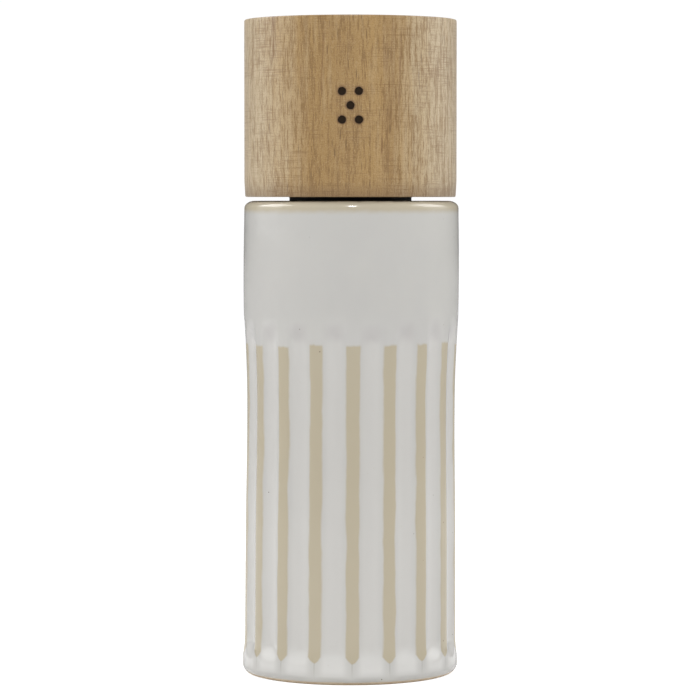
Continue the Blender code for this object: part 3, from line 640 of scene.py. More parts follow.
@dataclass(frozen=True)
class FiredCeramic(Finish):
    """Unglazed ceramic of the burrs: sugary grain, pores, and grey dust in its low places."""

    name: str = "fired_ceramic"
    slot: str = "burr_ceramic"
    colour: Colour = (0.760, 0.745, 0.700)
    dusty: Colour = (0.600, 0.580, 0.520)
    pore: Colour = (0.330, 0.300, 0.250)
    depth: float = 0.04 * MM

    def paint(self, wiring: Wiring, shader: bpy.types.Node) -> None:
        """Grain, pores and a dusty mottle."""
        grain = wiring.shared(grain_group(), grains_per_metre=3200.0, patches_per_metre=240.0)
        pores = wiring.shared(speckle_group(), cells_per_metre=2100.0, size=0.30, share=0.22)["Mask"]
        colour = wiring.blend(grain["Mottle"] * 0.35, self.colour, self.dusty)
        colour = wiring.blend(pores * 0.45, colour, self.pore)
        height = grain["Height"]
        rough = height.span(0.3, 0.7, 0.48, 0.66)
        self.dress(wiring, shader, colour, rough, height - pores * 0.8, self.depth)


@dataclass(frozen=True)
class WorkedMetal(Finish):
    """Metal with the lines of its making: turned rings, or lines drawn along the axis."""

    roughness: tuple[float, float] = (0.22, 0.38)
    drawn: bool = False
    tarnish: Colour = (0.400, 0.400, 0.400)
    depth: float = 0.012 * MM

    def paint(self, wiring: Wiring, shader: bpy.types.Node) -> None:
        """Working lines in the relief and the roughness, and a patchy tarnish."""
        shader.inputs["Metallic"].default_value = 1.0
        if self.drawn:
            lines = wiring.noise(wiring.scaled(wiring.place(), 0.02), 6000.0, 3.0, 0.6)
        else:
            lines = wiring.shared(lathe_group(), lines_per_metre=7000.0, patches_per_metre=300.0)["Height"]
        mottle = wiring.shared(grain_group(), grains_per_metre=5000.0, patches_per_metre=260.0)["Mottle"]
        colour = wiring.blend(mottle * 0.45, self.colour, self.tarnish)
        self.dress(wiring, shader, colour, lines.span(0.3, 0.7, *self.roughness), lines, self.depth)


GLAZE = GlazedStoneware()
WOOD = TurnedWood()
CERAMIC = FiredCeramic()
BLACK_PLASTIC = Moulded("moulded_black", "black_plastic", (0.0125, 0.0100, 0.0078))
WHITE_PLASTIC = Moulded(
    "waxy_white",
    "white_plastic",
    (0.72, 0.715, 0.69),
    (0.30, 0.42),
    1800.0,
    0.01 * MM,
    (0.66, 0.65, 0.61),
    0.15,
)
SILICONE = Moulded(
    "milky_silicone",
    "silicone",
    (0.66, 0.66, 0.64),
    (0.48, 0.62),
    3000.0,
    0.015 * MM,
    (0.58, 0.57, 0.54),
    0.2,
)
SPRING_STEEL = WorkedMetal("drawn_steel", "spring_steel", (0.56, 0.57, 0.58))
SCREW_STEEL = WorkedMetal("tumbled_steel", "screw_steel", (0.60, 0.60, 0.60), (0.28, 0.42))
ALUMINIUM = WorkedMetal(
    "drawn_aluminium", "shaft_aluminium", (0.77, 0.78, 0.79), (0.24, 0.40), True, (0.62, 0.63, 0.64)
)
BRASS = WorkedMetal("turned_brass", "nut_brass", (0.72, 0.52, 0.22), (0.20, 0.36), False, (0.46, 0.30, 0.12))


# Outlines of turned pieces


@dataclass(frozen=True)
class Corner:
    """A corner of a turned piece's outline.

    Attributes:
        radius: the distance from the axis; half the distance across the flats on a hexagonal ring.
        height: the height above the table.
        fillet: the radius that rounds the corner.
        carve: how much of the piece's cuts shows there, from 0 to 1.
        flats: 1 on a hexagonal ring, 0 on a round one.
        step: the longest distance between rings from here to the next corner.
    """

    radius: float
    height: float
    fillet: float = 0.0
    carve: float = 0.0
    flats: float = 0.0
    step: float = 3.0 * MM

    def at(self, place: Vector) -> "Corner":
        """This corner moved to a place (radius, height), sharp."""
        return replace(self, radius=place.x, height=place.y, fillet=0.0)

    def place(self) -> Vector:
        """The corner's (radius, height)."""
        return Vector((self.radius, self.height))

    def toward(self, other: "Corner", share: float) -> "Corner":
        """A sharp point part of the way to another corner."""
        mixed = {
            name: getattr(self, name) * (1 - share) + getattr(other, name) * share
            for name in ("radius", "height", "carve", "flats")
        }
        return replace(other, **mixed)


def hexagonal(radius: float, height: float, fillet: float = 0.0) -> Corner:
    """A corner on a hexagonal ring."""
    return Corner(radius, height, fillet, flats=1.0)


def fillet_arc(before: Corner, corner: Corner, after: Corner, steps: int) -> list[Corner]:
    """The rounded form of a corner.

    Args:
        before: the corner before it.
        corner: the corner itself.
        after: the corner after it.
        steps: the pieces that the arc is cut into.

    Returns:
        The points of the arc, or the corner alone where it is sharp.
    """
    here = corner.place()
    back, on = before.place() - here, after.place() - here
    if corner.fillet <= 0 or back.length < WELD or on.length < WELD:
        return [corner]
    half = back.angle(on) / 2
    if not math.radians(2) <= half <= math.radians(88):
        return [corner]
    reach = min(corner.fillet / math.tan(half), back.length * 0.48, on.length * 0.48)
    radius = reach * math.tan(half)
    back.normalize()
    on.normalize()
    centre = here + (back + on).normalized() * (radius / math.sin(half))
    first = here + back * reach - centre
    sweep = first.angle_signed(here + on * reach - centre)
    return [corner.at(centre + Matrix.Rotation(-sweep * i / steps, 2) @ first) for i in range(steps + 1)]


def outline(corners: Sequence[Corner], closed: bool, arc_steps: int) -> list[Corner]:
    """A whole outline with its corners rounded and its long runs divided.

    Args:
        corners: the corners in order.
        closed: whether the last corner joins the first; an open outline starts and ends on the axis.
        arc_steps: the pieces that each fillet is cut into.

    Returns:
        The outline's points. A closed one repeats its first point at the end.
    """
    count = len(corners)
    rounded: list[Corner] = []
    for i, corner in enumerate(corners):
        if not closed and i in (0, count - 1):
            rounded.append(corner)
        else:
            rounded += fillet_arc(corners[i - 1], corner, corners[(i + 1) % count], arc_steps)
    if closed:
        rounded.append(rounded[0])
    points = [rounded[0]]
    for start, end in zip(rounded, rounded[1:]):
        run = math.hypot(end.radius - start.radius, end.height - start.height)
        pieces = max(1, math.ceil(run / start.step))
        points += [start.toward(end, (i + 1) / pieces) for i in range(pieces)]
    return points


def eased(knots: Sequence[tuple[float, float]], pieces: int, like: Corner) -> list[Corner]:
    """Corners along a smooth curve through a few (radius, height) knots.

    Args:
        knots: the knots, going up.
        pieces: the pieces between two knots.
        like: the corner that lends its carve and step.

    Returns:
        The corners, ends included.
    """
    places = [Vector(knot) for knot in knots]
    made = []
    for i, (low, high) in enumerate(zip(places, places[1:])):
        before, after = places[max(i - 1, 0)], places[min(i + 2, len(places) - 1)]
        run = high.y - low.y
        leave = (high.x - before.x) / (high.y - before.y) * run
        arrive = (after.x - low.x) / (after.y - low.y) * run
        for step in range(pieces):
            t = step / pieces
            radius = (2 * t**3 - 3 * t**2 + 1) * low.x + (3 * t**2 - 2 * t**3) * high.x
            radius += (t**3 - 2 * t**2 + t) * leave + (t**3 - t**2) * arrive
            made.append(like.at(Vector((radius, low.y + run * t))))
    return made + [like.at(places[-1])]


def quarter_ellipse(centre: Vector, reach: Vector, start: float, like: Corner, steps: int) -> list[Corner]:
    """Corners along a quarter of an ellipse, anticlockwise from an angle."""
    angles = [start + math.pi / 2 * i / steps for i in range(steps + 1)]
    return [like.at(centre + reach * Vector((math.cos(angle), math.sin(angle)))) for angle in angles]


# Geometry Nodes trees


class Cut(Enum):
    """The form of the cuts that a turned piece has round it or along it."""

    NONE = "none"
    FLUTE = "flute"  # round hollows with flat lands between, whose ends fade out
    SAW = "saw"  # teeth with one steep side
    VEE = "vee"  # an even V, such as a screw thread
    LOBE = "lobe"  # round waves


TURNING_INPUTS = {
    "Outline": ("Geometry", None),
    "Facets": ("Int", 96),
    "Start": ("Float", 0.0),
    "Count": ("Float", 1.0),
    "Depth": ("Float", 0.0),
    "Width": ("Float", 0.64),
    "Twist": ("Float", 0.0),
    "Phase": ("Float", 0.0),
    "Low": ("Float", 0.0),
    "High": ("Float", 1.0),
    "Low Runout": ("Float", 0.001),
    "High Runout": ("Float", 0.001),
    "Waver": ("Float", 0.0),
    "Lean": ("Float", 0.0),
    "Lean Height": ("Float", 0.0),
    "Seed": ("Int", 7),
    "Material": ("Material", None),
}
LEAN_STARTS, LEAN_FULL = 19.0 * MM, 25.0 * MM  # only what is farther out leans


def cut_depth(wiring: Wiring, cut: Cut, width: Signal, share: Signal, lift: Signal) -> Signal:
    """How deep the cut is, from 0 to 1.

    Args:
        wiring: the tree's wiring.
        cut: the form of the cut.
        width: a flute's width, as a share of the distance between ridges.
        share: where the point lies between two ridges, from 0 to 1.
        lift: how far the cutter has risen out of the piece, 0 to 1 and beyond.

    Returns:
        The depth.
    """
    centred = abs(share - 0.5)
    if cut is Cut.FLUTE:
        across = centred / (width * 0.5)
        bowl = 1.0 - across * across
        return (bowl + wiring.math("SQRT", bowl * bowl + 0.030)) * 0.5 * lift.span(0.0, 1.0, 1.0, 0.0)
    held = (1.0 - lift).held()
    if cut is Cut.SAW:
        sides = {0: share / 0.82, 1: (1.0 - share) / 0.18, 2: 0.12}
        return (1.0 - wiring.made("ShaderNodeMath", sides, operation="SMOOTH_MIN")) * held
    if cut is Cut.VEE:
        return centred.span(0.03, 0.46, 1.0, 0.0) * held
    return (0.5 - wiring.math("COSINE", share * TURN) * 0.5) * held


def turning_tree(cut: Cut) -> bpy.types.NodeTree:
    """The tree that turns an outline round the axis and carves it.

    Args:
        cut: the form of the cuts.

    Returns:
        The tree, made once for each form.
    """
    name = f"turned_{cut.value}"
    if name in bpy.data.node_groups:
        return bpy.data.node_groups[name]
    wiring, given, leave = open_group(name, "GeometryNodeTree", TURNING_INPUTS, {"Piece": "Geometry"})
    points = wiring.made("GeometryNodeAttributeDomainSize", {0: given["Outline"]})
    rings = points - 1.0
    grid = wiring.made("GeometryNodeMeshGrid", {0: rings, 1: 1.0, 2: points, 3: given["Facets"] + 1.0})
    along, across, _ = wiring.parts(wiring.made("GeometryNodeInputPosition"))
    index = wiring.made("FunctionNodeFloatToInt", {0: along + rings * 0.5}, rounding_mode="ROUND")
    angle = (across + 0.5) * TURN + given["Start"]

    def sampled(value: Signal, kind: str = "FLOAT") -> Signal:
        """A value of the outline at the grid point's own ring."""
        inputs = {0: given["Outline"], 1: value, 2: index}
        return wiring.made("GeometryNodeSampleIndex", inputs, data_type=kind)

    def named(label: str) -> Signal:
        """A named value of the outline."""
        return sampled(wiring.made("GeometryNodeInputNamedAttribute", {0: label}, data_type="FLOAT"))

    radius, _, height = wiring.parts(sampled(wiring.made("GeometryNodeInputPosition"), "FLOAT_VECTOR"))
    side = math.pi / 3
    to_corner = 1.0 / wiring.math("COSINE", angle % side - side / 2) - 1.0
    radius = radius * (to_corner * named("flats") + 1.0)

    depth: Signal | float = 0.0
    marks: dict[str, Signal] = {}
    if cut is not Cut.NONE:
        pitch = TURN / given["Count"]
        turns = (angle + height * given["Twist"] - given["Phase"]) / pitch
        ridge_lift, flute_lift = (
            wiring.made(
                "FunctionNodeRandomValue",
                {2: -1.0, 3: 1.0, 7: wiring.math("FLOOR", number) % given["Count"], 8: given["Seed"]},
                output=1,
                data_type="FLOAT",
            )
            * given["Waver"]
            for number in (turns + 0.5, turns)
        )
        above = (height + flute_lift - given["High"]) / given["High Runout"]
        below = (given["Low"] - height) / given["Low Runout"]
        past = wiring.math("MAXIMUM", wiring.math("MAXIMUM", above, below), 0.0)
        share = wiring.math("FRACT", turns + given["Count"])
        carve = named("carve")
        shown = cut_depth(wiring, cut, given["Width"], share, past) * carve
        depth = shown * given["Depth"]
        from_ridge = (0.5 - abs(share - 0.5)) * pitch * radius + (1.0 - carve)
        marks = {"hollow": shown, "from_ridge": from_ridge, "ridge_lift": ridge_lift}
    radius = wiring.math("MAXIMUM", radius - depth, 0.0)
    lean = (height - given["Lean Height"]) * given["Lean"] * radius.span(LEAN_STARTS, LEAN_FULL)
    x, y, z = wiring.polar(radius, angle, height)
    shape = grid
    for label, mark in marks.items():
        inputs = {0: shape, 2: label, 3: mark}
        shape = wiring.made("GeometryNodeStoreNamedAttribute", inputs, data_type="FLOAT")
    shape = wiring.made("GeometryNodeSetPosition", {0: shape, 2: wiring.vector(x + lean, y, z)})
    shape = wiring.made("GeometryNodeMergeByDistance", {0: shape, 2: WELD})
    return finished(wiring, leave, shape, given["Material"])


def finished(wiring: Wiring, leave: bpy.types.Node, shape: Signal, material: Signal) -> bpy.types.NodeTree:
    """Realizes a tree's instances, gives its shape the material and sends it out."""
    shape = wiring.made("GeometryNodeRealizeInstances", {0: shape})
    shape = wiring.made("GeometryNodeSetMaterial", {0: shape, 2: material})
    wiring.feed(leave.inputs[0], shape)
    return wiring.tree


@functools.cache
def round_pattern_tree() -> bpy.types.NodeTree:
    """The tree that repeats a piece round the axis, each copy turned on itself by chance."""
    inputs = {
        "Piece": ("Geometry", None),
        "Count": ("Int", 3),
        "Radius": ("Float", 0.0),
        "Start": ("Float", 0.0),
        "Spin": ("Float", 0.0),
        "Seed": ("Int", 3),
        "Material": ("Material", None),
    }
    wiring, given, leave = open_group("round_pattern", "GeometryNodeTree", inputs, {"Pieces": "Geometry"})
    spots = wiring.made("GeometryNodePoints", {0: given["Count"]})
    index = wiring.made("GeometryNodeInputIndex")
    angle = index * (TURN / given["Count"]) + given["Start"]
    place = wiring.vector(*wiring.polar(given["Radius"], angle, 0.0))
    spots = wiring.made("GeometryNodeSetPosition", {0: spots, 2: place})
    draw = {2: -1.0, 3: 1.0, 7: index, 8: given["Seed"]}
    chance = wiring.made("FunctionNodeRandomValue", draw, output=1, data_type="FLOAT")
    own = wiring.vector(0.0, 0.0, angle + chance * given["Spin"])
    copies = wiring.made("GeometryNodeInstanceOnPoints", {0: spots, 2: given["Piece"], 5: own})
    return finished(wiring, leave, copies, given["Material"])


@functools.cache
def coil_tree() -> bpy.types.NodeTree:
    """The tree that sweeps a round wire along a coil whose end turns lie flat."""
    inputs = {
        "Guide": ("Geometry", None),
        "Turns": ("Float", 5.0),
        "Radius": ("Float", 0.005),
        "Bottom": ("Float", 0.0),
        "Rise": ("Float", 0.01),
        "Wire": ("Float", 0.0005),
        "Flat Share": ("Float", 0.1),
        "Start": ("Float", 0.0),
        "Material": ("Material", None),
    }
    wiring, given, leave = open_group("coil", "GeometryNodeTree", inputs, {"Wire": "Geometry"})
    steps, sides = 480, 16
    line = wiring.made("GeometryNodeCurvePrimitiveLine", {0: (0.0, 0.0, 0.0), 1: (0.0, 0.0, 1.0)})
    line = wiring.made("GeometryNodeResampleCurve", {0: line, 2: steps})
    along = wiring.made("GeometryNodeSplineParameter")
    angle = along * given["Turns"] * TURN + given["Start"]
    ramp = wiring.made("ShaderNodeMapRange", {0: along, 1: given["Flat Share"], 2: 1.0 - given["Flat Share"]})
    place = wiring.vector(*wiring.polar(given["Radius"], angle, given["Bottom"] + ramp * given["Rise"]))
    line = wiring.made("GeometryNodeSetPosition", {0: line, 2: place})
    ring = wiring.made("GeometryNodeCurvePrimitiveCircle", {0: sides, 4: given["Wire"]})
    swept = wiring.made("GeometryNodeCurveToMesh", {0: line, 1: ring, "Fill Caps": True})
    return finished(wiring, leave, swept, given["Material"])


# Making and joining pieces


def linked(name: str, mesh: bpy.types.Mesh) -> bpy.types.Object:
    """A new object in the scene that shows the mesh."""
    piece = bpy.data.objects.new(name, mesh)
    bpy.context.scene.collection.objects.link(piece)
    return piece


def settled(piece: bpy.types.Object) -> bpy.types.Object:
    """Turns an object's evaluated form into its plain mesh and drops its modifiers."""
    graph = bpy.context.evaluated_depsgraph_get()
    mesh = bpy.data.meshes.new_from_object(piece.evaluated_get(graph))
    piece.modifiers.clear()
    piece.data = mesh
    mesh.name = piece.name
    return piece


def grown(piece: bpy.types.Object, tree: bpy.types.NodeTree, **values: object) -> bpy.types.Object:
    """Runs a Geometry Nodes tree on an object and keeps the result as a plain mesh.

    Args:
        piece: the object that the tree starts from.
        tree: the tree.
        values: its inputs, by name with spaces as underscores.

    Returns:
        The same object with its new mesh.
    """
    modifier = piece.modifiers.new(tree.name, "NODES")
    modifier.node_group = tree
    for socket in tree.interface.items_tree:
        label = socket.name.lower().replace(" ", "_")
        if socket.item_type == "SOCKET" and socket.in_out == "INPUT" and label in values:
            modifier[socket.identifier] = values[label]
    return settled(piece)


def cleaned(piece: bpy.types.Object, sharp: float = math.radians(34)) -> bpy.types.Object:
    """Merges doubles, turns faces outwards and shades the piece smooth up to an angle."""
    work = bmesh.new()
    work.from_mesh(piece.data)
    bmesh.ops.remove_doubles(work, verts=work.verts, dist=WELD)
    bmesh.ops.dissolve_degenerate(work, edges=work.edges, dist=WELD)
    bmesh.ops.recalc_face_normals(work, faces=work.faces)
    work.to_mesh(piece.data)
    work.free()
    piece.data.shade_smooth()
    piece.data.set_sharp_from_angle(angle=sharp)
    return piece


def turned(
    name: str,
    corners: Sequence[Corner],
    finish: Finish,
    closed: bool = True,
    facets: int = 96,
    cut: Cut = Cut.NONE,
    arc_steps: int = 4,
    **values: float,
) -> bpy.types.Object:
    """A turned piece.

    Args:
        name: its name.
        corners: its outline.
        finish: its finish.
        closed: whether the outline is a closed ring, clear of the axis.
        facets: how many flats its rings have.
        cut: the form of its cuts.
        arc_steps: the pieces in each fillet.
        values: the tree's other inputs, such as depth and count.

    Returns:
        The piece as a plain mesh.
    """
    points = outline(corners, closed, arc_steps)
    mesh = bpy.data.meshes.new(name)
    mesh.from_pydata([(p.radius, 0.0, p.height) for p in points], [], [])
    for label in ("carve", "flats"):
        layer = mesh.attributes.new(label, "FLOAT", "POINT")
        layer.data.foreach_set("value", [getattr(p, label) for p in points])
    piece = linked(name, mesh)
    grown(piece, turning_tree(cut), facets=facets, material=finish.material(), **values)
    return cleaned(piece)


def threaded(
    name: str, corners: Sequence[Corner], finish: Finish, pitch: float, **values: float
) -> bpy.types.Object:
    """A turned piece with a right-handed thread where its corners carve."""
    return turned(name, corners, finish, cut=Cut.VEE, count=1.0, twist=TURN / pitch, **values)


def tube(
    name: str,
    inner: float,
    outer: float,
    low: float,
    high: float,
    finish: Finish,
    edge: float,
    facets: int = 96,
) -> bpy.types.Object:
    """A ring with rounded edges between two radii and two heights."""
    sides = ((outer, low), (outer, high), (inner, high), (inner, low))
    return turned(name, [Corner(*side, edge) for side in sides], finish, facets=facets)


def block(
    name: str, low: Sequence[float], high: Sequence[float], finish: Finish, edge: float = 0.0
) -> bpy.types.Object:
    """A box between two corners, with its edges rounded where edge is above 0."""
    work = bmesh.new()
    size = Vector(high) - Vector(low)
    middle = (Vector(low) + Vector(high)) / 2
    bmesh.ops.create_cube(work, size=1.0, matrix=Matrix.Translation(middle) @ Matrix.Diagonal((*size, 1.0)))
    if edge > 0:
        rounding = {"offset": edge, "segments": 3, "profile": 0.5, "affect": "EDGES", "clamp_overlap": True}
        bmesh.ops.bevel(work, geom=work.edges[:], **rounding)
    mesh = bpy.data.meshes.new(name)
    work.to_mesh(mesh)
    work.free()
    mesh.materials.append(finish.material())
    return linked(name, mesh)


def peg(
    name: str, radius: float, low: float, high: float, finish: Finish, facets: int = 32
) -> bpy.types.Object:
    """A round peg on the axis between two heights."""
    corners = [Corner(0.0, low), Corner(radius, low), Corner(radius, high), Corner(0.0, high)]
    return turned(name, corners, finish, closed=False, facets=facets)


def worked(piece: bpy.types.Object, others: Iterable[bpy.types.Object], operation: str) -> bpy.types.Object:
    """Joins other shapes to a piece or cuts them from it, and removes them.

    Args:
        piece: the piece that is kept.
        others: the shapes.
        operation: UNION or DIFFERENCE.

    Returns:
        The piece with its new mesh.
    """
    used = list(others)
    for other in used:
        modifier = piece.modifiers.new(other.name, "BOOLEAN")
        modifier.operation = operation
        modifier.solver = "EXACT"
        modifier.object = other
    settled(piece)
    for other in used:
        bpy.data.objects.remove(other, do_unlink=True)
    return cleaned(piece)


def ringed(
    piece: bpy.types.Object, count: int, start: float, radius: float = 0.0, spin: float = 0.0
) -> bpy.types.Object:
    """The piece repeated evenly round the axis, the first copy at the start angle."""
    values = {"count": count, "start": start, "radius": radius, "spin": spin}
    return grown(piece, round_pattern_tree(), material=piece.data.materials[0], **values)


def declared(piece: bpy.types.Object, finish: Finish, *nodes: str) -> None:
    """Hides the CAD nodes that a finished piece stands for, and logs it."""
    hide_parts(*nodes)
    LOG.info("%s: %d faces for %s", piece.name, len(piece.data.polygons), ", ".join(nodes))


def mounted(piece: bpy.types.Object, finish: Finish, body: str, *nodes: str) -> None:
    """Declares a finished piece that rides on one body."""
    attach(piece, body)
    declared(piece, finish, *nodes)


def outer_radius(node: str) -> float:
    """How far a CAD node reaches from the axis."""
    low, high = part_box(node)
    return max(-low.x, high.x, -low.y, high.y)


def heights(node: str) -> tuple[float, float]:
    """The lowest and highest point of a CAD node."""
    low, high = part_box(node)
    return low.z, high.z


@dataclass
class PanScrew:
    """A pan-headed screw with a crossed recess, which points up."""

    shank: float = 0.9 * MM
    length: float = 8.0 * MM
    head: float = 1.9 * MM
    head_height: float = 1.0 * MM
    pitch: float = 0.8 * MM
    thread_depth: float = 0.24 * MM
    recess: float = 1.05 * MM
    recess_width: float = 0.34 * MM
    recess_depth: float = 0.55 * MM
    spin: float = math.radians(50)  # how far a screw may stop short or go on

    def build(self, name: str, bottom: float) -> bpy.types.Object:
        """One screw on the axis.

        Args:
            name: its name.
            bottom: the height of its head's lower face.

        Returns:
            The screw.
        """
        seat = bottom + self.head_height
        point = seat + self.length
        thread = Corner(self.shank, seat + 0.5 * MM, carve=1.0, step=self.pitch / 7)
        corners = [
            Corner(0.0, bottom),
            Corner(self.head * 0.62, bottom, 0.25 * MM),
            Corner(self.head, bottom + self.head_height * 0.55, 0.3 * MM),
            Corner(self.head, seat, 0.1 * MM),
            Corner(self.shank * 1.15, seat, 0.1 * MM),
            Corner(self.shank, seat + 0.4 * MM),
            thread,
            replace(thread, height=point - 2 * self.shank),
            Corner(0.0, point),
        ]
        depth = self.thread_depth
        piece = threaded(name, corners, SCREW_STEEL, self.pitch, closed=False, facets=40, depth=depth)
        reach, half = self.recess, self.recess_width / 2
        low, high = bottom - 0.3 * MM, bottom + self.recess_depth
        slots = [
            block(f"slot_{i}", (-x, -y, low), (x, y, high), SCREW_STEEL)
            for i, (x, y) in enumerate(((reach, half), (half, reach)))
        ]
        return worked(piece, slots, "DIFFERENCE")

    def ring(self, name: str, body: str, nodes: Sequence[str], circle: float) -> None:
        """A ring of screws, each turned by chance, with the first at the front."""
        piece = self.build(name, heights(nodes[0])[0])
        ringed(piece, len(nodes), FRONT, circle, self.spin)
        mounted(piece, SCREW_STEEL, body, *nodes)


# Sub-assemblies


@dataclass
class Stoneware:
    """The fluted body, the bushing in its mouth, and the gasket under its floor."""

    foot_round: float = 2.5 * MM
    foot_edge: float = 0.8 * MM
    foot_ring: float = 4.8 * MM
    waist: tuple[tuple[float, float], ...] = (  # radius and height in mm, from the foot up
        (28.15, 3.0),
        (28.10, 5.1),
        (27.82, 8.3),
        (27.74, 16.0),
        (27.62, 40.0),
        (27.30, 62.0),
        (27.32, 76.0),
        (27.66, 85.5),
        (27.95, 92.5),
        (28.08, 104.0),
        (28.0, 112.0),
        (27.90, 119.4),
    )
    lean: float = 0.0036
    lean_height: float = 50.0 * MM
    shoulder_reach: float = 2.7 * MM
    shoulder_drop: float = 1.9 * MM
    flutes: int = 18
    flute_depth: float = 1.0 * MM
    flute_width: float = 0.66
    flute_phase: float = math.radians(1.2)
    flute_low: float = 10.2 * MM
    flute_high: float = 84.6 * MM
    low_runout: float = 6.4 * MM
    high_runout: float = 9.2 * MM
    waver: float = 0.55 * MM
    chamber: float = 23.3 * MM
    floor_low: float = 13.0 * MM
    floor_high: float = 18.0 * MM
    floor_hole: float = 21.0 * MM
    mouth_depth: float = 11.8 * MM
    inner_shoulder: float = 7.0 * MM
    rim_round: float = 1.0 * MM
    mouth_gap: float = 0.3 * MM
    collar: float = 15.9 * MM
    collar_gap: float = 0.4 * MM
    gasket_bore: float = 21.0 * MM
    facets: int = 324
    glaze_rise: float = 0.33 * MM  # the glaze stands this much above the clay's rim

    def body(self) -> None:
        """The stoneware shell with its flutes."""
        top = heights("stoneware_body")[1] + self.glaze_rise
        mouth = outer_radius("mouth_bushing") + self.mouth_gap
        recess = outer_radius("stoneware_body") - self.foot_ring
        side = Corner(0.0, 0.0, carve=1.0, step=0.9 * MM)
        knots = [(radius * MM, height * MM) for radius, height in self.waist]
        shoulder = Vector((knots[-1][0] - 0.02 * MM, top - self.shoulder_drop))
        knots.append(tuple(shoulder))
        drop = Vector((self.shoulder_reach, self.shoulder_drop))
        shoulder.x -= self.shoulder_reach
        foot = Vector((self.foot_round, self.foot_round))
        corners = quarter_ellipse(Vector((knots[0][0], 0.0)) + Vector((-1, 1)) * foot, foot, FRONT, side, 8)
        corners += eased(knots, 4, side)
        corners += quarter_ellipse(shoulder, drop, 0.0, replace(side, carve=0.0), 10)[1:]
        corners += [
            Corner(mouth, top, self.rim_round),
            Corner(mouth, top - self.mouth_depth, 1.2 * MM),
            Corner(self.chamber, top - self.mouth_depth - self.inner_shoulder, 4.0 * MM),
            Corner(self.chamber, self.floor_high, 1.5 * MM),
            Corner(self.floor_hole, self.floor_high, 0.5 * MM),
            Corner(self.floor_hole, self.floor_low, 0.4 * MM),
            Corner(recess, self.floor_low, 0.5 * MM),
            Corner(recess, 0.0, self.foot_edge),
        ]
        piece = turned(
            "fluted_body",
            corners,
            GLAZE,
            facets=self.facets,
            cut=Cut.FLUTE,
            start=FRONT,
            count=float(self.flutes),
            depth=self.flute_depth,
            width=self.flute_width,
            phase=FRONT + self.flute_phase,
            low=self.flute_low,
            high=self.flute_high,
            low_runout=self.low_runout,
            high_runout=self.high_runout,
            waver=self.waver,
            lean=self.lean,
            lean_height=self.lean_height,
        )
        mounted(piece, GLAZE, "mill_body", "stoneware_body")

    def bushing(self) -> None:
        """The ring that the collar turns in, with a lead-in at its top."""
        low, high = heights("mouth_bushing")
        outer, bore = outer_radius("mouth_bushing"), self.collar + self.collar_gap
        corners = [
            Corner(outer, low, 0.4 * MM),
            Corner(outer, high, 0.3 * MM),
            Corner(bore + 0.5 * MM, high, 0.15 * MM),
            Corner(bore, high - 0.6 * MM, 0.2 * MM),
            Corner(bore, low, 0.3 * MM),
        ]
        piece = turned("collar_bushing", corners, BLACK_PLASTIC, facets=128)
        mounted(piece, BLACK_PLASTIC, "mill_body", "mouth_bushing")

    def gasket(self) -> None:
        """The flat ring between the grinder's flange and the floor."""
        sides = self.gasket_bore, outer_radius("housing_gasket"), *heights("housing_gasket")
        piece = tube("floor_gasket", *sides, SILICONE, 0.3 * MM, 128)
        mounted(piece, SILICONE, "mill_body", "housing_gasket")

    def build(self) -> None:
        """Makes the body, the bushing and the gasket."""
        self.body()
        self.bushing()
        self.gasket()


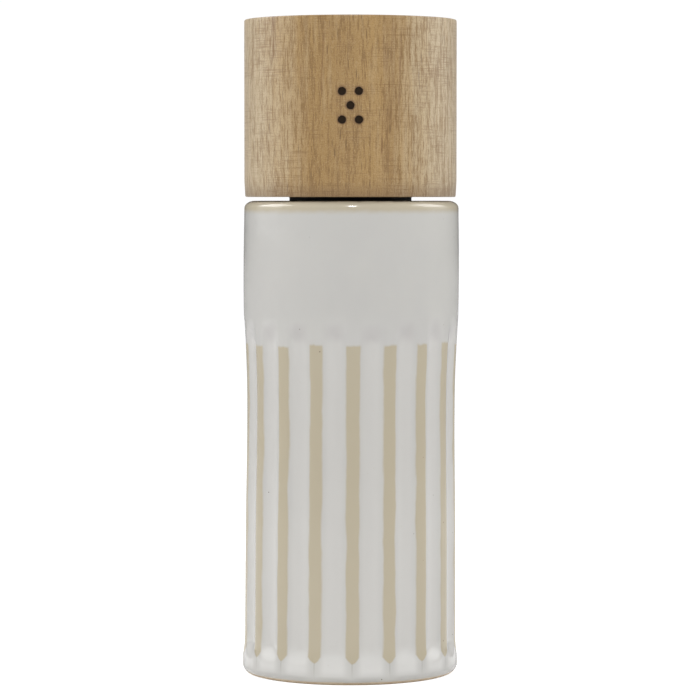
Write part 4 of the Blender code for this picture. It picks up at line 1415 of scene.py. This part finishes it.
@dataclass
class CapGroup:
    """The turned cap with its insert, ring, seal and screws."""

    taper: float = 0.24 * MM
    taper_height: float = 4.0 * MM
    edge: float = 0.38 * MM
    seat_gap: float = 0.3 * MM
    collar: float = 15.9 * MM
    collar_wall: float = 1.8 * MM
    flange_drop: float = 10.8 * MM
    flange_thickness: float = 3.0 * MM
    socket: float = 6.81 * MM
    socket_flats: float = 6.6 * MM
    socket_roof: float = 2.0 * MM
    tail: float = 1.5 * MM
    groove: float = 0.8 * MM
    seal_height: float = 3.6 * MM
    seal_wire: float = 0.5 * MM
    ring_height: float = 2.6 * MM
    ring_opening: float = math.radians(50)
    screw_circle: float = 10.46 * MM
    pilot: float = 1.2 * MM
    pilot_length: float = 5.5 * MM
    rib: tuple[float, float] = (1.8 * MM, 4.0 * MM)
    slot: tuple[float, float] = (1.2 * MM, 6.0 * MM)
    dot_depth: float = 0.28 * MM
    rubbed: float = 0.3 * MM  # sanded off the cap's lower face
    count: int = 3

    def wood(self) -> None:
        """The wooden cap with its recess, its holes and the mark of five dots."""
        low, high = heights("wooden_cap")
        low += self.rubbed
        radius = outer_radius("wooden_cap")
        flange = outer_radius("cap_insert") + self.seat_gap
        flange_top = heights("cap_insert")[0] + self.flange_drop + self.flange_thickness + self.seat_gap
        socket_top = heights("cap_insert")[1] + self.seat_gap
        bore = self.socket + self.seat_gap
        corners = [
            Corner(0.0, high),
            Corner(radius - 6.0 * MM, high, step=2.0 * MM),
            Corner(radius, high, self.edge),
            Corner(radius, low + self.taper_height, 6.0 * MM, step=1.0 * MM),
            Corner(radius - self.taper, low, self.edge),
            Corner(flange, low, 0.3 * MM),
            Corner(flange, flange_top, 0.2 * MM),
            Corner(bore, flange_top, 0.2 * MM),
            Corner(bore, socket_top, 0.4 * MM),
            Corner(0.0, socket_top),
        ]
        piece = turned("turned_cap", corners, WOOD, closed=False, facets=256)
        pilots = peg("pilot", self.pilot, flange_top - 1.0 * MM, flange_top + self.pilot_length, WOOD)
        ringed(pilots, self.count, FRONT, self.screw_circle)
        worked(piece, [pilots, *self.dots(radius)], "DIFFERENCE")
        mounted(piece, WOOD, "cap", "wooden_cap")

    def dots(self, radius: float) -> list[bpy.types.Object]:
        """Round-nosed cutters for the five dots, each square to the cap's side."""
        across, up = WOOD.mark_reach
        spots = [(0.0, 0.0)] + [(a * across, b * up) for a in (-1, 1) for b in (-1, 1)]
        corners = [
            Corner(0.0, -self.dot_depth),
            Corner(WOOD.dot_radius * 0.92, -self.dot_depth, 0.25 * MM),
            Corner(WOOD.dot_radius, 1.0 * MM),
            Corner(0.0, 1.0 * MM),
        ]
        cutters = []
        for i, (offset, rise) in enumerate(spots):
            cutter = turned(f"dot_cutter_{i + 1}", corners, WOOD, closed=False, facets=40)
            bearing = FRONT + math.asin(offset / radius)
            outward = Vector((math.cos(bearing), math.sin(bearing), 0.0))
            place = outward * radius + Vector((0.0, 0.0, WOOD.mark_height + rise))
            facing = outward.to_track_quat("Z", "Y").to_matrix().to_4x4()
            cutter.data.transform(Matrix.Translation(place) @ facing)
            cutters.append(cutter)
        return cutters

    def grooved(self, radius: float, depth: float, height: float, edge: float) -> list[Corner]:
        """The corners of a groove round a cylinder, from its top down."""
        top, bottom = height + self.groove, height - self.groove
        return [
            Corner(radius, top, edge),
            Corner(radius - depth, top, 0.15 * MM),
            Corner(radius - depth, bottom, 0.15 * MM),
            Corner(radius, bottom, edge),
        ]

    def insert(self) -> None:
        """The plastic insert: socket with a slotted end, collar, flange and ribs."""
        low, high = heights("cap_insert")
        flange, bore = outer_radius("cap_insert"), self.collar - self.collar_wall
        under = low + self.flange_drop
        top, tail = under + self.flange_thickness, low + self.tail
        flats = self.socket_flats / 2
        corners = [
            Corner(0.0, high),
            Corner(self.socket, high, 0.5 * MM),
            Corner(self.socket, top, 0.3 * MM),
            Corner(flange, top, 0.4 * MM),
            Corner(flange, under, 0.4 * MM),
            Corner(self.collar, under, 0.25 * MM),
            *self.grooved(self.collar, self.groove + self.seat_gap, low + self.seal_height, 0.12 * MM),
            Corner(self.collar, low, 0.6 * MM),
            Corner(bore, low, 0.3 * MM),
            Corner(bore, under, 0.5 * MM),
            Corner(self.socket, under, 0.5 * MM),
            *self.grooved(self.socket, self.groove, tail + self.ring_height, 0.1 * MM),
            Corner(self.socket, tail, 0.35 * MM),
            hexagonal(flats + 0.5 * MM, tail),
            hexagonal(flats, tail + 0.8 * MM),
            hexagonal(flats, high - self.socket_roof),
            Corner(0.0, high - self.socket_roof),
        ]
        piece = turned("cap_socket", corners, BLACK_PLASTIC, closed=False, facets=144)
        half, into = self.rib[0] / 2, 0.4 * MM
        rib = ((self.socket - into, -half, under - self.rib[1]), (bore + into, half, under + into))
        ribs = ringed(block("rib", *rib, BLACK_PLASTIC, 0.25 * MM), self.count, FRONT + math.pi / 3)
        worked(piece, [ribs], "UNION")
        half = self.slot[0] / 2
        slot = ((1.0 * MM, -half, tail - 1.0 * MM), (self.socket + 0.6 * MM, half, tail + self.slot[1]))
        slots = ringed(block("slot", *slot, BLACK_PLASTIC, 0.2 * MM), self.count, FRONT)
        holes = peg("screw_hole", self.pilot, under - 1.0 * MM, top + 1.0 * MM, BLACK_PLASTIC)
        worked(piece, [slots, ringed(holes, self.count, FRONT, self.screw_circle)], "DIFFERENCE")
        mounted(piece, BLACK_PLASTIC, "cap", "cap_insert")

    def ring(self) -> None:
        """The open steel ring round the socket's slotted end."""
        low, high = heights("grip_ring")
        piece = grown(
            linked("socket_ring", bpy.data.meshes.new("socket_ring")),
            coil_tree(),
            turns=1 - self.ring_opening / TURN,
            radius=self.socket,
            bottom=(low + high) / 2,
            rise=0.0,
            wire=(high - low) / 2,
            start=self.ring_opening / 2,
            material=SPRING_STEEL.material(),
        )
        mounted(cleaned(piece), SPRING_STEEL, "cap", "grip_ring")

    def seal(self) -> None:
        """The soft ring in the collar's groove."""
        low, high = heights("collar_seal")
        half, middle = (high - low) / 2, (low + high) / 2
        centre = outer_radius("collar_seal") - self.seal_wire
        angles = [i * TURN / 16 for i in range(16)]
        corners = [Corner(centre + self.seal_wire * math.cos(a), middle + half * math.sin(a)) for a in angles]
        mounted(turned("seal_ring", corners, SILICONE, facets=128), SILICONE, "cap", "collar_seal")

    def build(self) -> None:
        """Makes the cap and what is fixed in it."""
        self.wood()
        self.insert()
        self.ring()
        self.seal()
        names = [f"insert_screw_{i + 1}" for i in range(self.count)]
        PanScrew().ring("insert_screws", "cap", names, self.screw_circle)


@dataclass
class DriveLine:
    """The shaft with its bush, clip, washers and spring."""

    flats: float = 6.0 * MM
    bore_flats: float = 6.6 * MM
    thread: float = 2.4 * MM
    thread_depth: float = 0.5 * MM
    pitch: float = 1.0 * MM
    tip: float = 0.8 * MM
    neck: float = 2.5 * MM
    neck_low: float = 41.1 * MM
    neck_high: float = 42.5 * MM
    hex_start: float = 8.2 * MM
    bush: float = 5.01 * MM
    bush_flange: float = 1.0 * MM
    bite: tuple[float, float] = (0.7 * MM, 1.3 * MM)
    bite_bearing: float = math.radians(125)
    wire: float = 0.45 * MM
    turns: float = 6.5
    flat_share: float = 0.13

    def shaft(self) -> None:
        """The hexagonal shaft with its rolled thread, its neck and its chamfered tip."""
        low, high = heights("drive_shaft")
        half = self.flats / 2
        thread = Corner(self.thread, low + 0.5 * MM, carve=1.0, step=self.pitch / 8)
        corners = [
            Corner(0.0, low),
            Corner(self.thread - 0.5 * MM, low),
            thread,
            replace(thread, height=self.hex_start - 0.5 * MM, step=1.0),
            Corner(self.thread - 0.25 * MM, self.hex_start - 0.3 * MM, 0.1 * MM),
            hexagonal(half - 0.35 * MM, self.hex_start),
            hexagonal(half, self.hex_start + 0.35 * MM),
            hexagonal(half, self.neck_low, 0.06 * MM),
            Corner(self.neck, self.neck_low, 0.1 * MM),
            Corner(self.neck, self.neck_high, 0.1 * MM),
            hexagonal(half, self.neck_high, 0.06 * MM),
            hexagonal(half, high - self.tip, 0.15 * MM),
            Corner(half - self.tip, high, 0.1 * MM),
            Corner(0.0, high),
        ]
        form = {"closed": False, "facets": 72, "depth": self.thread_depth}
        piece = threaded("hexagonal_shaft", corners, ALUMINIUM, self.pitch, **form)
        mounted(piece, ALUMINIUM, "drive", "drive_shaft")

    def bearing(self) -> None:
        """The flanged bush that turns with the shaft."""
        low, high = heights("drive_bush")
        flange, half = outer_radius("drive_bush"), self.bore_flats / 2
        corners = [
            Corner(self.bush, low, 0.3 * MM),
            Corner(self.bush, high - self.bush_flange, 0.15 * MM),
            Corner(flange, high - self.bush_flange, 0.2 * MM),
            Corner(flange, high, 0.3 * MM),
            hexagonal(half + 0.3 * MM, high),
            hexagonal(half, high - 0.4 * MM),
            hexagonal(half, low + 0.4 * MM),
            hexagonal(half + 0.3 * MM, low),
        ]
        mounted(turned("bearing_bush", corners, WHITE_PLASTIC), WHITE_PLASTIC, "drive", "drive_bush")

    def clip(self) -> None:
        """The sprung clip with its opening at the front and two bites inside."""
        low, high = heights("shaft_clip")
        outer, bore = outer_radius("shaft_clip"), self.neck + 0.3 * MM
        piece = tube("sprung_clip", bore, outer, low, high, SPRING_STEEL, 0.12 * MM)
        half, past = self.neck * 0.8, 1.0 * MM
        gap = ((0.0, -half, low - past), (outer + past, half, high + past))
        opening = ringed(block("opening", *gap, SPRING_STEEL, 0.3 * MM), 1, FRONT)
        half, reach = self.bite
        bite = ((bore - 0.4 * MM, -half, low - past), (bore + reach, half, high + past))
        bites = ringed(block("bite", *bite, SPRING_STEEL, 0.25 * MM), 2, FRONT + self.bite_bearing)
        mounted(worked(piece, [opening, bites], "DIFFERENCE"), SPRING_STEEL, "drive", "shaft_clip")

    def washer(self, name: str, node: str, body: str) -> None:
        """A stamped washer with one rounded side."""
        low, high = heights(node)
        outer, bore = outer_radius(node), self.bore_flats / 2 * HEX_CORNER
        corners = [
            Corner(outer, low, 0.22 * MM),
            Corner(outer, high, 0.06 * MM),
            Corner(bore, high, 0.06 * MM),
            Corner(bore, low, 0.16 * MM),
        ]
        mounted(turned(name, corners, SPRING_STEEL), SPRING_STEEL, body, node)

    def spring(self) -> None:
        """The coil that keeps the inner burr down, its end turns flat."""
        low, high = heights("burr_spring")
        piece = grown(
            linked("coil_spring", bpy.data.meshes.new("coil_spring")),
            coil_tree(),
            turns=self.turns,
            radius=outer_radius("burr_spring") - self.wire,
            bottom=low + self.wire,
            rise=high - low - 2 * self.wire,
            wire=self.wire,
            flat_share=self.flat_share,
            start=FRONT,
            material=SPRING_STEEL.material(),
        )
        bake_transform(cleaned(piece))
        declared(piece, SPRING_STEEL, "burr_spring")

    def build(self) -> None:
        """Makes what turns with the shaft."""
        self.shaft()
        self.bearing()
        self.clip()
        self.washer("spring_seat", "upper_washer", "drive")
        self.washer("burr_washer", "lower_washer", "rotor")
        self.spring()


@dataclass
class Grinder:
    """The housing and the fixed ring burr, the turning cone with its carrier, and the plate."""

    lip: float = 15.6 * MM
    seat: float = 17.3 * MM
    barrel: float = 20.7 * MM
    hopper: float = 18.9 * MM
    flange_thickness: float = 2.2 * MM
    lip_bottom: float = 21.7 * MM
    lip_top: float = 23.7 * MM
    hub: tuple[float, float] = (5.41 * MM, 7.61 * MM)
    hub_height: float = 6.0 * MM
    arm: tuple[float, float] = (3.4 * MM, 3.0 * MM)
    barb: tuple[float, float] = (6.0 * MM, 3.0 * MM)
    barb_bottom: float = 18.3 * MM
    barb_reach: float = 1.1 * MM
    outlet: float = 14.4 * MM
    ring_top: float = 10.59 * MM
    cone: tuple[float, float] = (13.9 * MM, 7.59 * MM)
    cone_flats: float = 10.2 * MM
    carrier_flats: float = 9.6 * MM
    carrier_lip: float = 2.0 * MM
    bore_flats: float = 6.6 * MM
    teeth: int = 18
    tooth_depth: float = 0.7 * MM
    tooth_step: float = 0.6 * MM
    helix: float = math.radians(15)
    plate_step: float = 0.35 * MM
    boss: float = 2.05 * MM
    screw_circle: float = 19.0 * MM
    screw_hole: float = 1.2 * MM
    hole_top: float = 15.3 * MM
    count: int = 3

    def holes(self, name: str, low: float, high: float) -> bpy.types.Object:
        """Cutters for the ring of screw holes."""
        cutter = peg(name, self.screw_hole, low, high, BLACK_PLASTIC)
        return ringed(cutter, self.count, FRONT, self.screw_circle)

    def housing(self) -> None:
        """The moulded housing with its spider, its hub and its snap barbs."""
        low, high = heights("grinder_housing")
        flange, flange_top = outer_radius("grinder_housing"), low + self.flange_thickness
        corners = [
            Corner(flange, low, 0.4 * MM),
            Corner(flange, flange_top, 0.3 * MM),
            Corner(self.barrel, flange_top, 0.3 * MM),
            Corner(self.barrel, high, 0.5 * MM),
            Corner(self.hopper, high, 0.4 * MM),
            Corner(self.hopper, self.lip_top, 0.8 * MM),
            Corner(self.lip, self.lip_top, 0.4 * MM),
            Corner(self.lip, self.lip_bottom, 0.15 * MM),
            Corner(self.seat, self.lip_bottom, 0.15 * MM),
            Corner(self.seat, low, 0.15 * MM),
        ]
        piece = turned("grinder_case", corners, BLACK_PLASTIC, facets=180)
        hub = tube("hub", *self.hub, high - self.hub_height, high, BLACK_PLASTIC, 0.35 * MM)
        half = self.arm[0] / 2
        inside, outside = sum(self.hub) / 2, self.hopper + 0.9 * MM
        arm = ((inside, -half, high - self.arm[1]), (outside, half, high - 0.3 * MM))
        arms = ringed(block("arm", *arm, BLACK_PLASTIC, 0.5 * MM), self.count, FRONT + math.pi / 3)
        half, top = self.barb[0] / 2, self.barb_bottom + self.barb[1]
        barb = ((self.barrel - 1.0 * MM, -half, self.barb_bottom), (self.barrel + self.barb_reach, half, top))
        barbs = ringed(block("barb", *barb, BLACK_PLASTIC, 0.4 * MM), self.count, FRONT)
        worked(piece, [arms, hub, barbs], "UNION")
        worked(piece, [self.holes("housing_hole", low - 1.0 * MM, self.hole_top)], "DIFFERENCE")
        mounted(piece, BLACK_PLASTIC, "mill_body", "grinder_housing")

    def toothed(self, name: str, node: str, body: str, corners: Sequence[Corner]) -> None:
        """A burr with saw teeth that run up it on a helix."""
        low, high = heights(node)
        piece = turned(
            name,
            corners,
            CERAMIC,
            facets=360,
            cut=Cut.SAW,
            arc_steps=3,
            count=float(self.teeth),
            depth=self.tooth_depth,
            twist=-self.helix / (high - low),
        )
        mounted(piece, CERAMIC, body, node)

    def ring_burr(self) -> None:
        """The fixed ring, toothed inside, wide at its top for whole grains."""
        low, high = heights("outer_burr")
        outer = outer_radius("outer_burr")
        bottom, top = self.outlet + self.tooth_depth, self.ring_top + self.tooth_depth
        corners = [
            Corner(outer, low, 0.3 * MM),
            Corner(outer, high, 0.5 * MM),
            Corner(top + 0.35 * MM, high, 0.2 * MM),
            Corner(top, high - 0.35 * MM, carve=1.0, step=self.tooth_step),
            Corner(bottom, low + 0.25 * MM, carve=1.0, step=self.tooth_step),
            Corner(bottom + 0.2 * MM, low),
        ]
        self.toothed("ring_burr", "outer_burr", "mill_body", corners)

    def cone_burr(self) -> None:
        """The turning cone, toothed outside, with a hexagonal bore."""
        low, high = heights("inner_burr")
        bottom, top = self.cone
        half = self.cone_flats / 2
        corners = [
            Corner(bottom - 0.3 * MM, low),
            Corner(bottom, low + 0.2 * MM, carve=1.0, step=self.tooth_step),
            Corner(top, high - 0.2 * MM, carve=1.0, step=self.tooth_step),
            Corner(top - 0.3 * MM, high, carve=0.6),
            hexagonal(half + 0.15 * MM, high),
            hexagonal(half, high - 0.2 * MM),
            hexagonal(half, low + 0.2 * MM),
            hexagonal(half + 0.15 * MM, low),
        ]
        self.toothed("cone_burr", "inner_burr", "rotor", corners)

    def carrier(self) -> None:
        """The plastic core of the cone, with its flange below."""
        low, high = heights("burr_carrier")
        lip, ledge = outer_radius("burr_carrier"), low + self.carrier_lip
        outside, bore = self.carrier_flats / 2, self.bore_flats / 2
        corners = [
            Corner(lip, low, 0.3 * MM),
            Corner(lip, ledge, 0.3 * MM),
            hexagonal(outside, ledge),
            hexagonal(outside, high - 0.3 * MM),
            hexagonal(outside - 0.3 * MM, high),
            hexagonal(bore + 0.2 * MM, high),
            hexagonal(bore, high - 0.3 * MM),
            hexagonal(bore, low + 0.3 * MM),
            hexagonal(bore + 0.2 * MM, low),
        ]
        piece = turned("cone_carrier", corners, BLACK_PLASTIC, facets=144)
        mounted(piece, BLACK_PLASTIC, "rotor", "burr_carrier")

    def plate(self) -> None:
        """The plate under the ring burr, with a raised outer edge and counterbored holes."""
        low, high = heights("burr_retainer")
        outer, inner = outer_radius("burr_retainer"), self.outlet + self.tooth_depth
        sunk = low + self.plate_step
        corners = [
            Corner(outer, low, 0.35 * MM),
            Corner(outer, high, 0.2 * MM),
            Corner(inner, high, 0.2 * MM),
            Corner(inner, low, 0.5 * MM),
            Corner(inner + 1.4 * MM, low, 0.1 * MM),
            Corner(inner + 1.6 * MM, sunk, 0.1 * MM),
            Corner(outer - 1.3 * MM, sunk, 0.1 * MM),
            Corner(outer - 1.1 * MM, low, 0.1 * MM),
        ]
        piece = turned("burr_plate", corners, BLACK_PLASTIC, facets=160)
        holes = self.holes("plate_hole", low - 1.0 * MM, high + 1.0 * MM)
        bore = self.screw_hole + 0.1 * MM
        bosses = tube("boss", bore, self.boss, low, low + 0.6 * MM, BLACK_PLASTIC, 0.1 * MM, 48)
        worked(piece, [ringed(bosses, self.count, FRONT, self.screw_circle)], "UNION")
        mounted(worked(piece, [holes], "DIFFERENCE"), BLACK_PLASTIC, "mill_body", "burr_retainer")

    def build(self) -> None:
        """Makes the housing, the burrs, the carrier and the plate with its screws."""
        self.housing()
        self.ring_burr()
        self.cone_burr()
        self.carrier()
        self.plate()
        names = [f"retainer_screw_{i + 1}" for i in range(self.count)]
        PanScrew().ring("plate_screws", "mill_body", names, self.screw_circle)


@dataclass
class Adjuster:
    """The lobed knob in the base with its brass nut."""

    lobes: int = 6
    lobe: float = 0.8 * MM
    grip_chamfer: float = 0.55 * MM
    pocket_flats: float = 8.2 * MM
    nut_flats: float = 7.6 * MM
    bore: float = 2.7 * MM
    pocket_floor: float = 1.0 * MM
    pitch: float = 1.0 * MM
    dots: tuple[float, ...] = (0.22, 0.30, 0.38, 0.46, 0.54)
    dot_circle: float = 5.2 * MM
    dot_spacing: float = math.radians(22)

    def knob(self) -> None:
        """The knob with its lobes, its pocket, and moulded dots that grow towards coarse."""
        low, high = heights("adjuster_knob")
        radius, half = outer_radius("adjuster_knob"), self.pocket_flats / 2
        pocket = low + self.pocket_floor
        corners = [
            Corner(radius - self.grip_chamfer, low, 0.35 * MM, carve=1.0),
            Corner(radius, low + self.grip_chamfer, 0.2 * MM, carve=1.0),
            Corner(radius, high, 0.4 * MM, carve=1.0),
            hexagonal(half, high),
            hexagonal(half, pocket),
            Corner(self.bore, pocket),
            Corner(self.bore, low, 0.3 * MM),
        ]
        waves = {"cut": Cut.LOBE, "count": float(self.lobes), "depth": 2 * self.lobe}
        piece = turned("grind_knob", corners, BLACK_PLASTIC, facets=216, **waves)
        worked(piece, [self.dot(i, size * MM, low) for i, size in enumerate(self.dots)], "DIFFERENCE")
        mounted(piece, BLACK_PLASTIC, "adjuster", "adjuster_knob")

    def dot(self, number: int, size: float, low: float) -> bpy.types.Object:
        """A cutter for one dot of the scale under the knob."""
        cutter = peg(f"scale_dot_{number + 1}", size, low - 0.5 * MM, low + 0.3 * MM, BLACK_PLASTIC, 24)
        bearing = FRONT + self.dot_spacing * (number - len(self.dots) // 2)
        place = Vector((math.cos(bearing), math.sin(bearing), 0.0)) * self.dot_circle
        cutter.data.transform(Matrix.Translation(place))
        return cutter

    def nut(self) -> None:
        """The brass nut with its chamfered hexagon and its thread."""
        low, high = heights("adjuster_nut")
        half, edge = self.nut_flats / 2, 0.4 * MM
        thread = Corner(self.bore + 0.02 * MM, high - edge, carve=1.0, step=self.pitch / 8)
        corners = [
            Corner(half - 0.25 * MM, low, flats=0.55),
            hexagonal(half, low + edge),
            hexagonal(half, high - edge),
            Corner(half - 0.25 * MM, high, flats=0.55),
            Corner(self.bore + 0.3 * MM, high),
            thread,
            replace(thread, height=low + edge, step=1.0),
            Corner(self.bore + 0.3 * MM, low),
        ]
        piece = threaded("brass_nut", corners, BRASS, self.pitch, facets=72, depth=0.2 * MM)
        mounted(piece, BRASS, "adjuster", "adjuster_nut")

    def build(self) -> None:
        """Makes the knob and its nut."""
        self.knob()
        self.nut()


# Studio


@dataclass
class Studio:
    """The camera at the height of the mouth, soft lights at the sides and above, and a white floor."""

    camera_place: Vector = (-0.12 * MM, -0.870, 124.03 * MM)
    pitch: float = math.radians(2.62)
    lens: float = 171.6
    middle: tuple[float, float, float] = (0.0, 0.0, 0.10)
    box_radius: float = 0.62
    box_size: tuple[float, float] = (0.46, 0.52)
    boxes: tuple[tuple[float, float, float], ...] = ((-100.0, 0.589, 0.384), (106.0, 0.775, 0.3892))
    strip_radius: float = 0.70
    strip_height: float = 0.62
    strip_size: tuple[float, float] = (0.50, 0.46)
    strips: tuple[tuple[float, float], ...] = ((-108.0, 3.8), (108.0, 3.0))
    top_place: tuple[float, float, float] = (0.0, -0.75, 0.85)
    top_size: tuple[float, float] = (0.12, 0.45)
    top_power: float = 4.9
    ambient: tuple[float, float] = (0.53, 0.08)  # in front and behind
    floor_half: float = 6.0

    def camera(self) -> None:
        """A long lens that looks slightly down at the front."""
        data = bpy.data.cameras.new("front_camera")
        data.lens = self.lens
        data.sensor_width = 36.0
        data.clip_start = 0.02
        data.clip_end = 20.0
        camera = bpy.data.objects.new("front_camera", data)
        bpy.context.scene.collection.objects.link(camera)
        camera.location = self.camera_place
        camera.rotation_euler = (math.pi / 2 - self.pitch, 0.0, 0.0)
        bpy.context.scene.camera = camera

    def lamp(self, name: str, place: Vector, target: Vector, size: tuple[float, float], power: float) -> None:
        """A rectangular soft light that faces a point."""
        data = bpy.data.lights.new(name, "AREA")
        data.shape = "RECTANGLE"
        data.size, data.size_y = size
        data.energy = power
        lamp = bpy.data.objects.new(name, data)
        bpy.context.scene.collection.objects.link(lamp)
        lamp.location = place
        lamp.rotation_euler = (target - place).to_track_quat("-Z", "Y").to_euler()

    @staticmethod
    def around(azimuth: float, radius: float, height: float) -> Vector:
        """A point at an azimuth in degrees from the front."""
        bearing = FRONT + math.radians(azimuth)
        return Vector((math.cos(bearing) * radius, math.sin(bearing) * radius, height))

    def lights(self) -> None:
        """Two boxes and two strips at the sides, and a small light overhead."""
        middle = Vector(self.middle)
        for i, (azimuth, power, height) in enumerate(self.boxes):
            place = self.around(azimuth, self.box_radius, height)
            self.lamp(f"side_box_{i + 1}", place, Vector((0.0, 0.0, height)), self.box_size, power)
        for i, (azimuth, power) in enumerate(self.strips):
            place = self.around(azimuth, self.strip_radius, self.strip_height)
            self.lamp(f"strip_{i + 1}", place, middle, self.strip_size, power)
        self.lamp("top_light", Vector(self.top_place), middle, self.top_size, self.top_power)

    def world(self) -> None:
        """An even white surround: full white to the camera, dimmer as a light."""
        world = bpy.data.worlds.new("white_surround")
        bpy.context.scene.world = world
        world.use_nodes = True
        wiring = Wiring(world.node_tree)
        seen = wiring.made("ShaderNodeLightPath", output="Is Camera Ray")
        toward = wiring.parts(wiring.made("ShaderNodeTexCoord", output="Generated"))[1]
        background = world.node_tree.nodes["Background"]
        background.inputs["Color"].default_value = (1.0, 1.0, 1.0, 1.0)
        ambient = toward.span(-0.6, 0.6, *self.ambient)
        wiring.feed(background.inputs["Strength"], wiring.math("MAXIMUM", ambient, seen * 1.02))

    def floor(self) -> None:
        """A wide pale floor that shows a faint shadow, and that nothing below it is hidden by."""
        work = bmesh.new()
        bmesh.ops.create_grid(work, x_segments=1, y_segments=1, size=self.floor_half)
        mesh = bpy.data.meshes.new("floor")
        work.to_mesh(mesh)
        work.free()
        material = bpy.data.materials.new("pale_floor")
        material.use_nodes = True
        wiring = Wiring(material.node_tree)
        seen = wiring.made("ShaderNodeLightPath", output="Is Camera Ray")
        below = wiring.made("ShaderNodeNewGeometry", output="Backfacing")
        looks = {
            "Base Color": (0.86, 0.86, 0.86),
            "Roughness": 0.9,
            "Specular IOR Level": 0.1,
            "Emission Color": (1.0, 1.0, 1.0),
            "Emission Strength": seen.span(0.0, 1.0, 0.08, 0.80),
            "Alpha": 1.0 - below,
        }
        for name, value in looks.items():
            wiring.feed(material.node_tree.nodes["Principled BSDF"].inputs[name], value)
        mesh.materials.append(material)
        floor = linked("floor", mesh)

    def build(self) -> None:
        """Sets up the whole studio."""
        self.camera()
        self.world()
        self.lights()
        self.floor()
        bpy.context.scene.view_settings.view_transform = "Standard"


def main() -> None:
    logging.basicConfig(level=logging.INFO, format="%(message)s")
    Studio().build()
    for assembly in (Stoneware(), CapGroup(), DriveLine(), Grinder(), Adjuster()):
        assembly.build()
        LOG.info("%s is built", type(assembly).__name__)


if __name__ == "__main__":
    main()
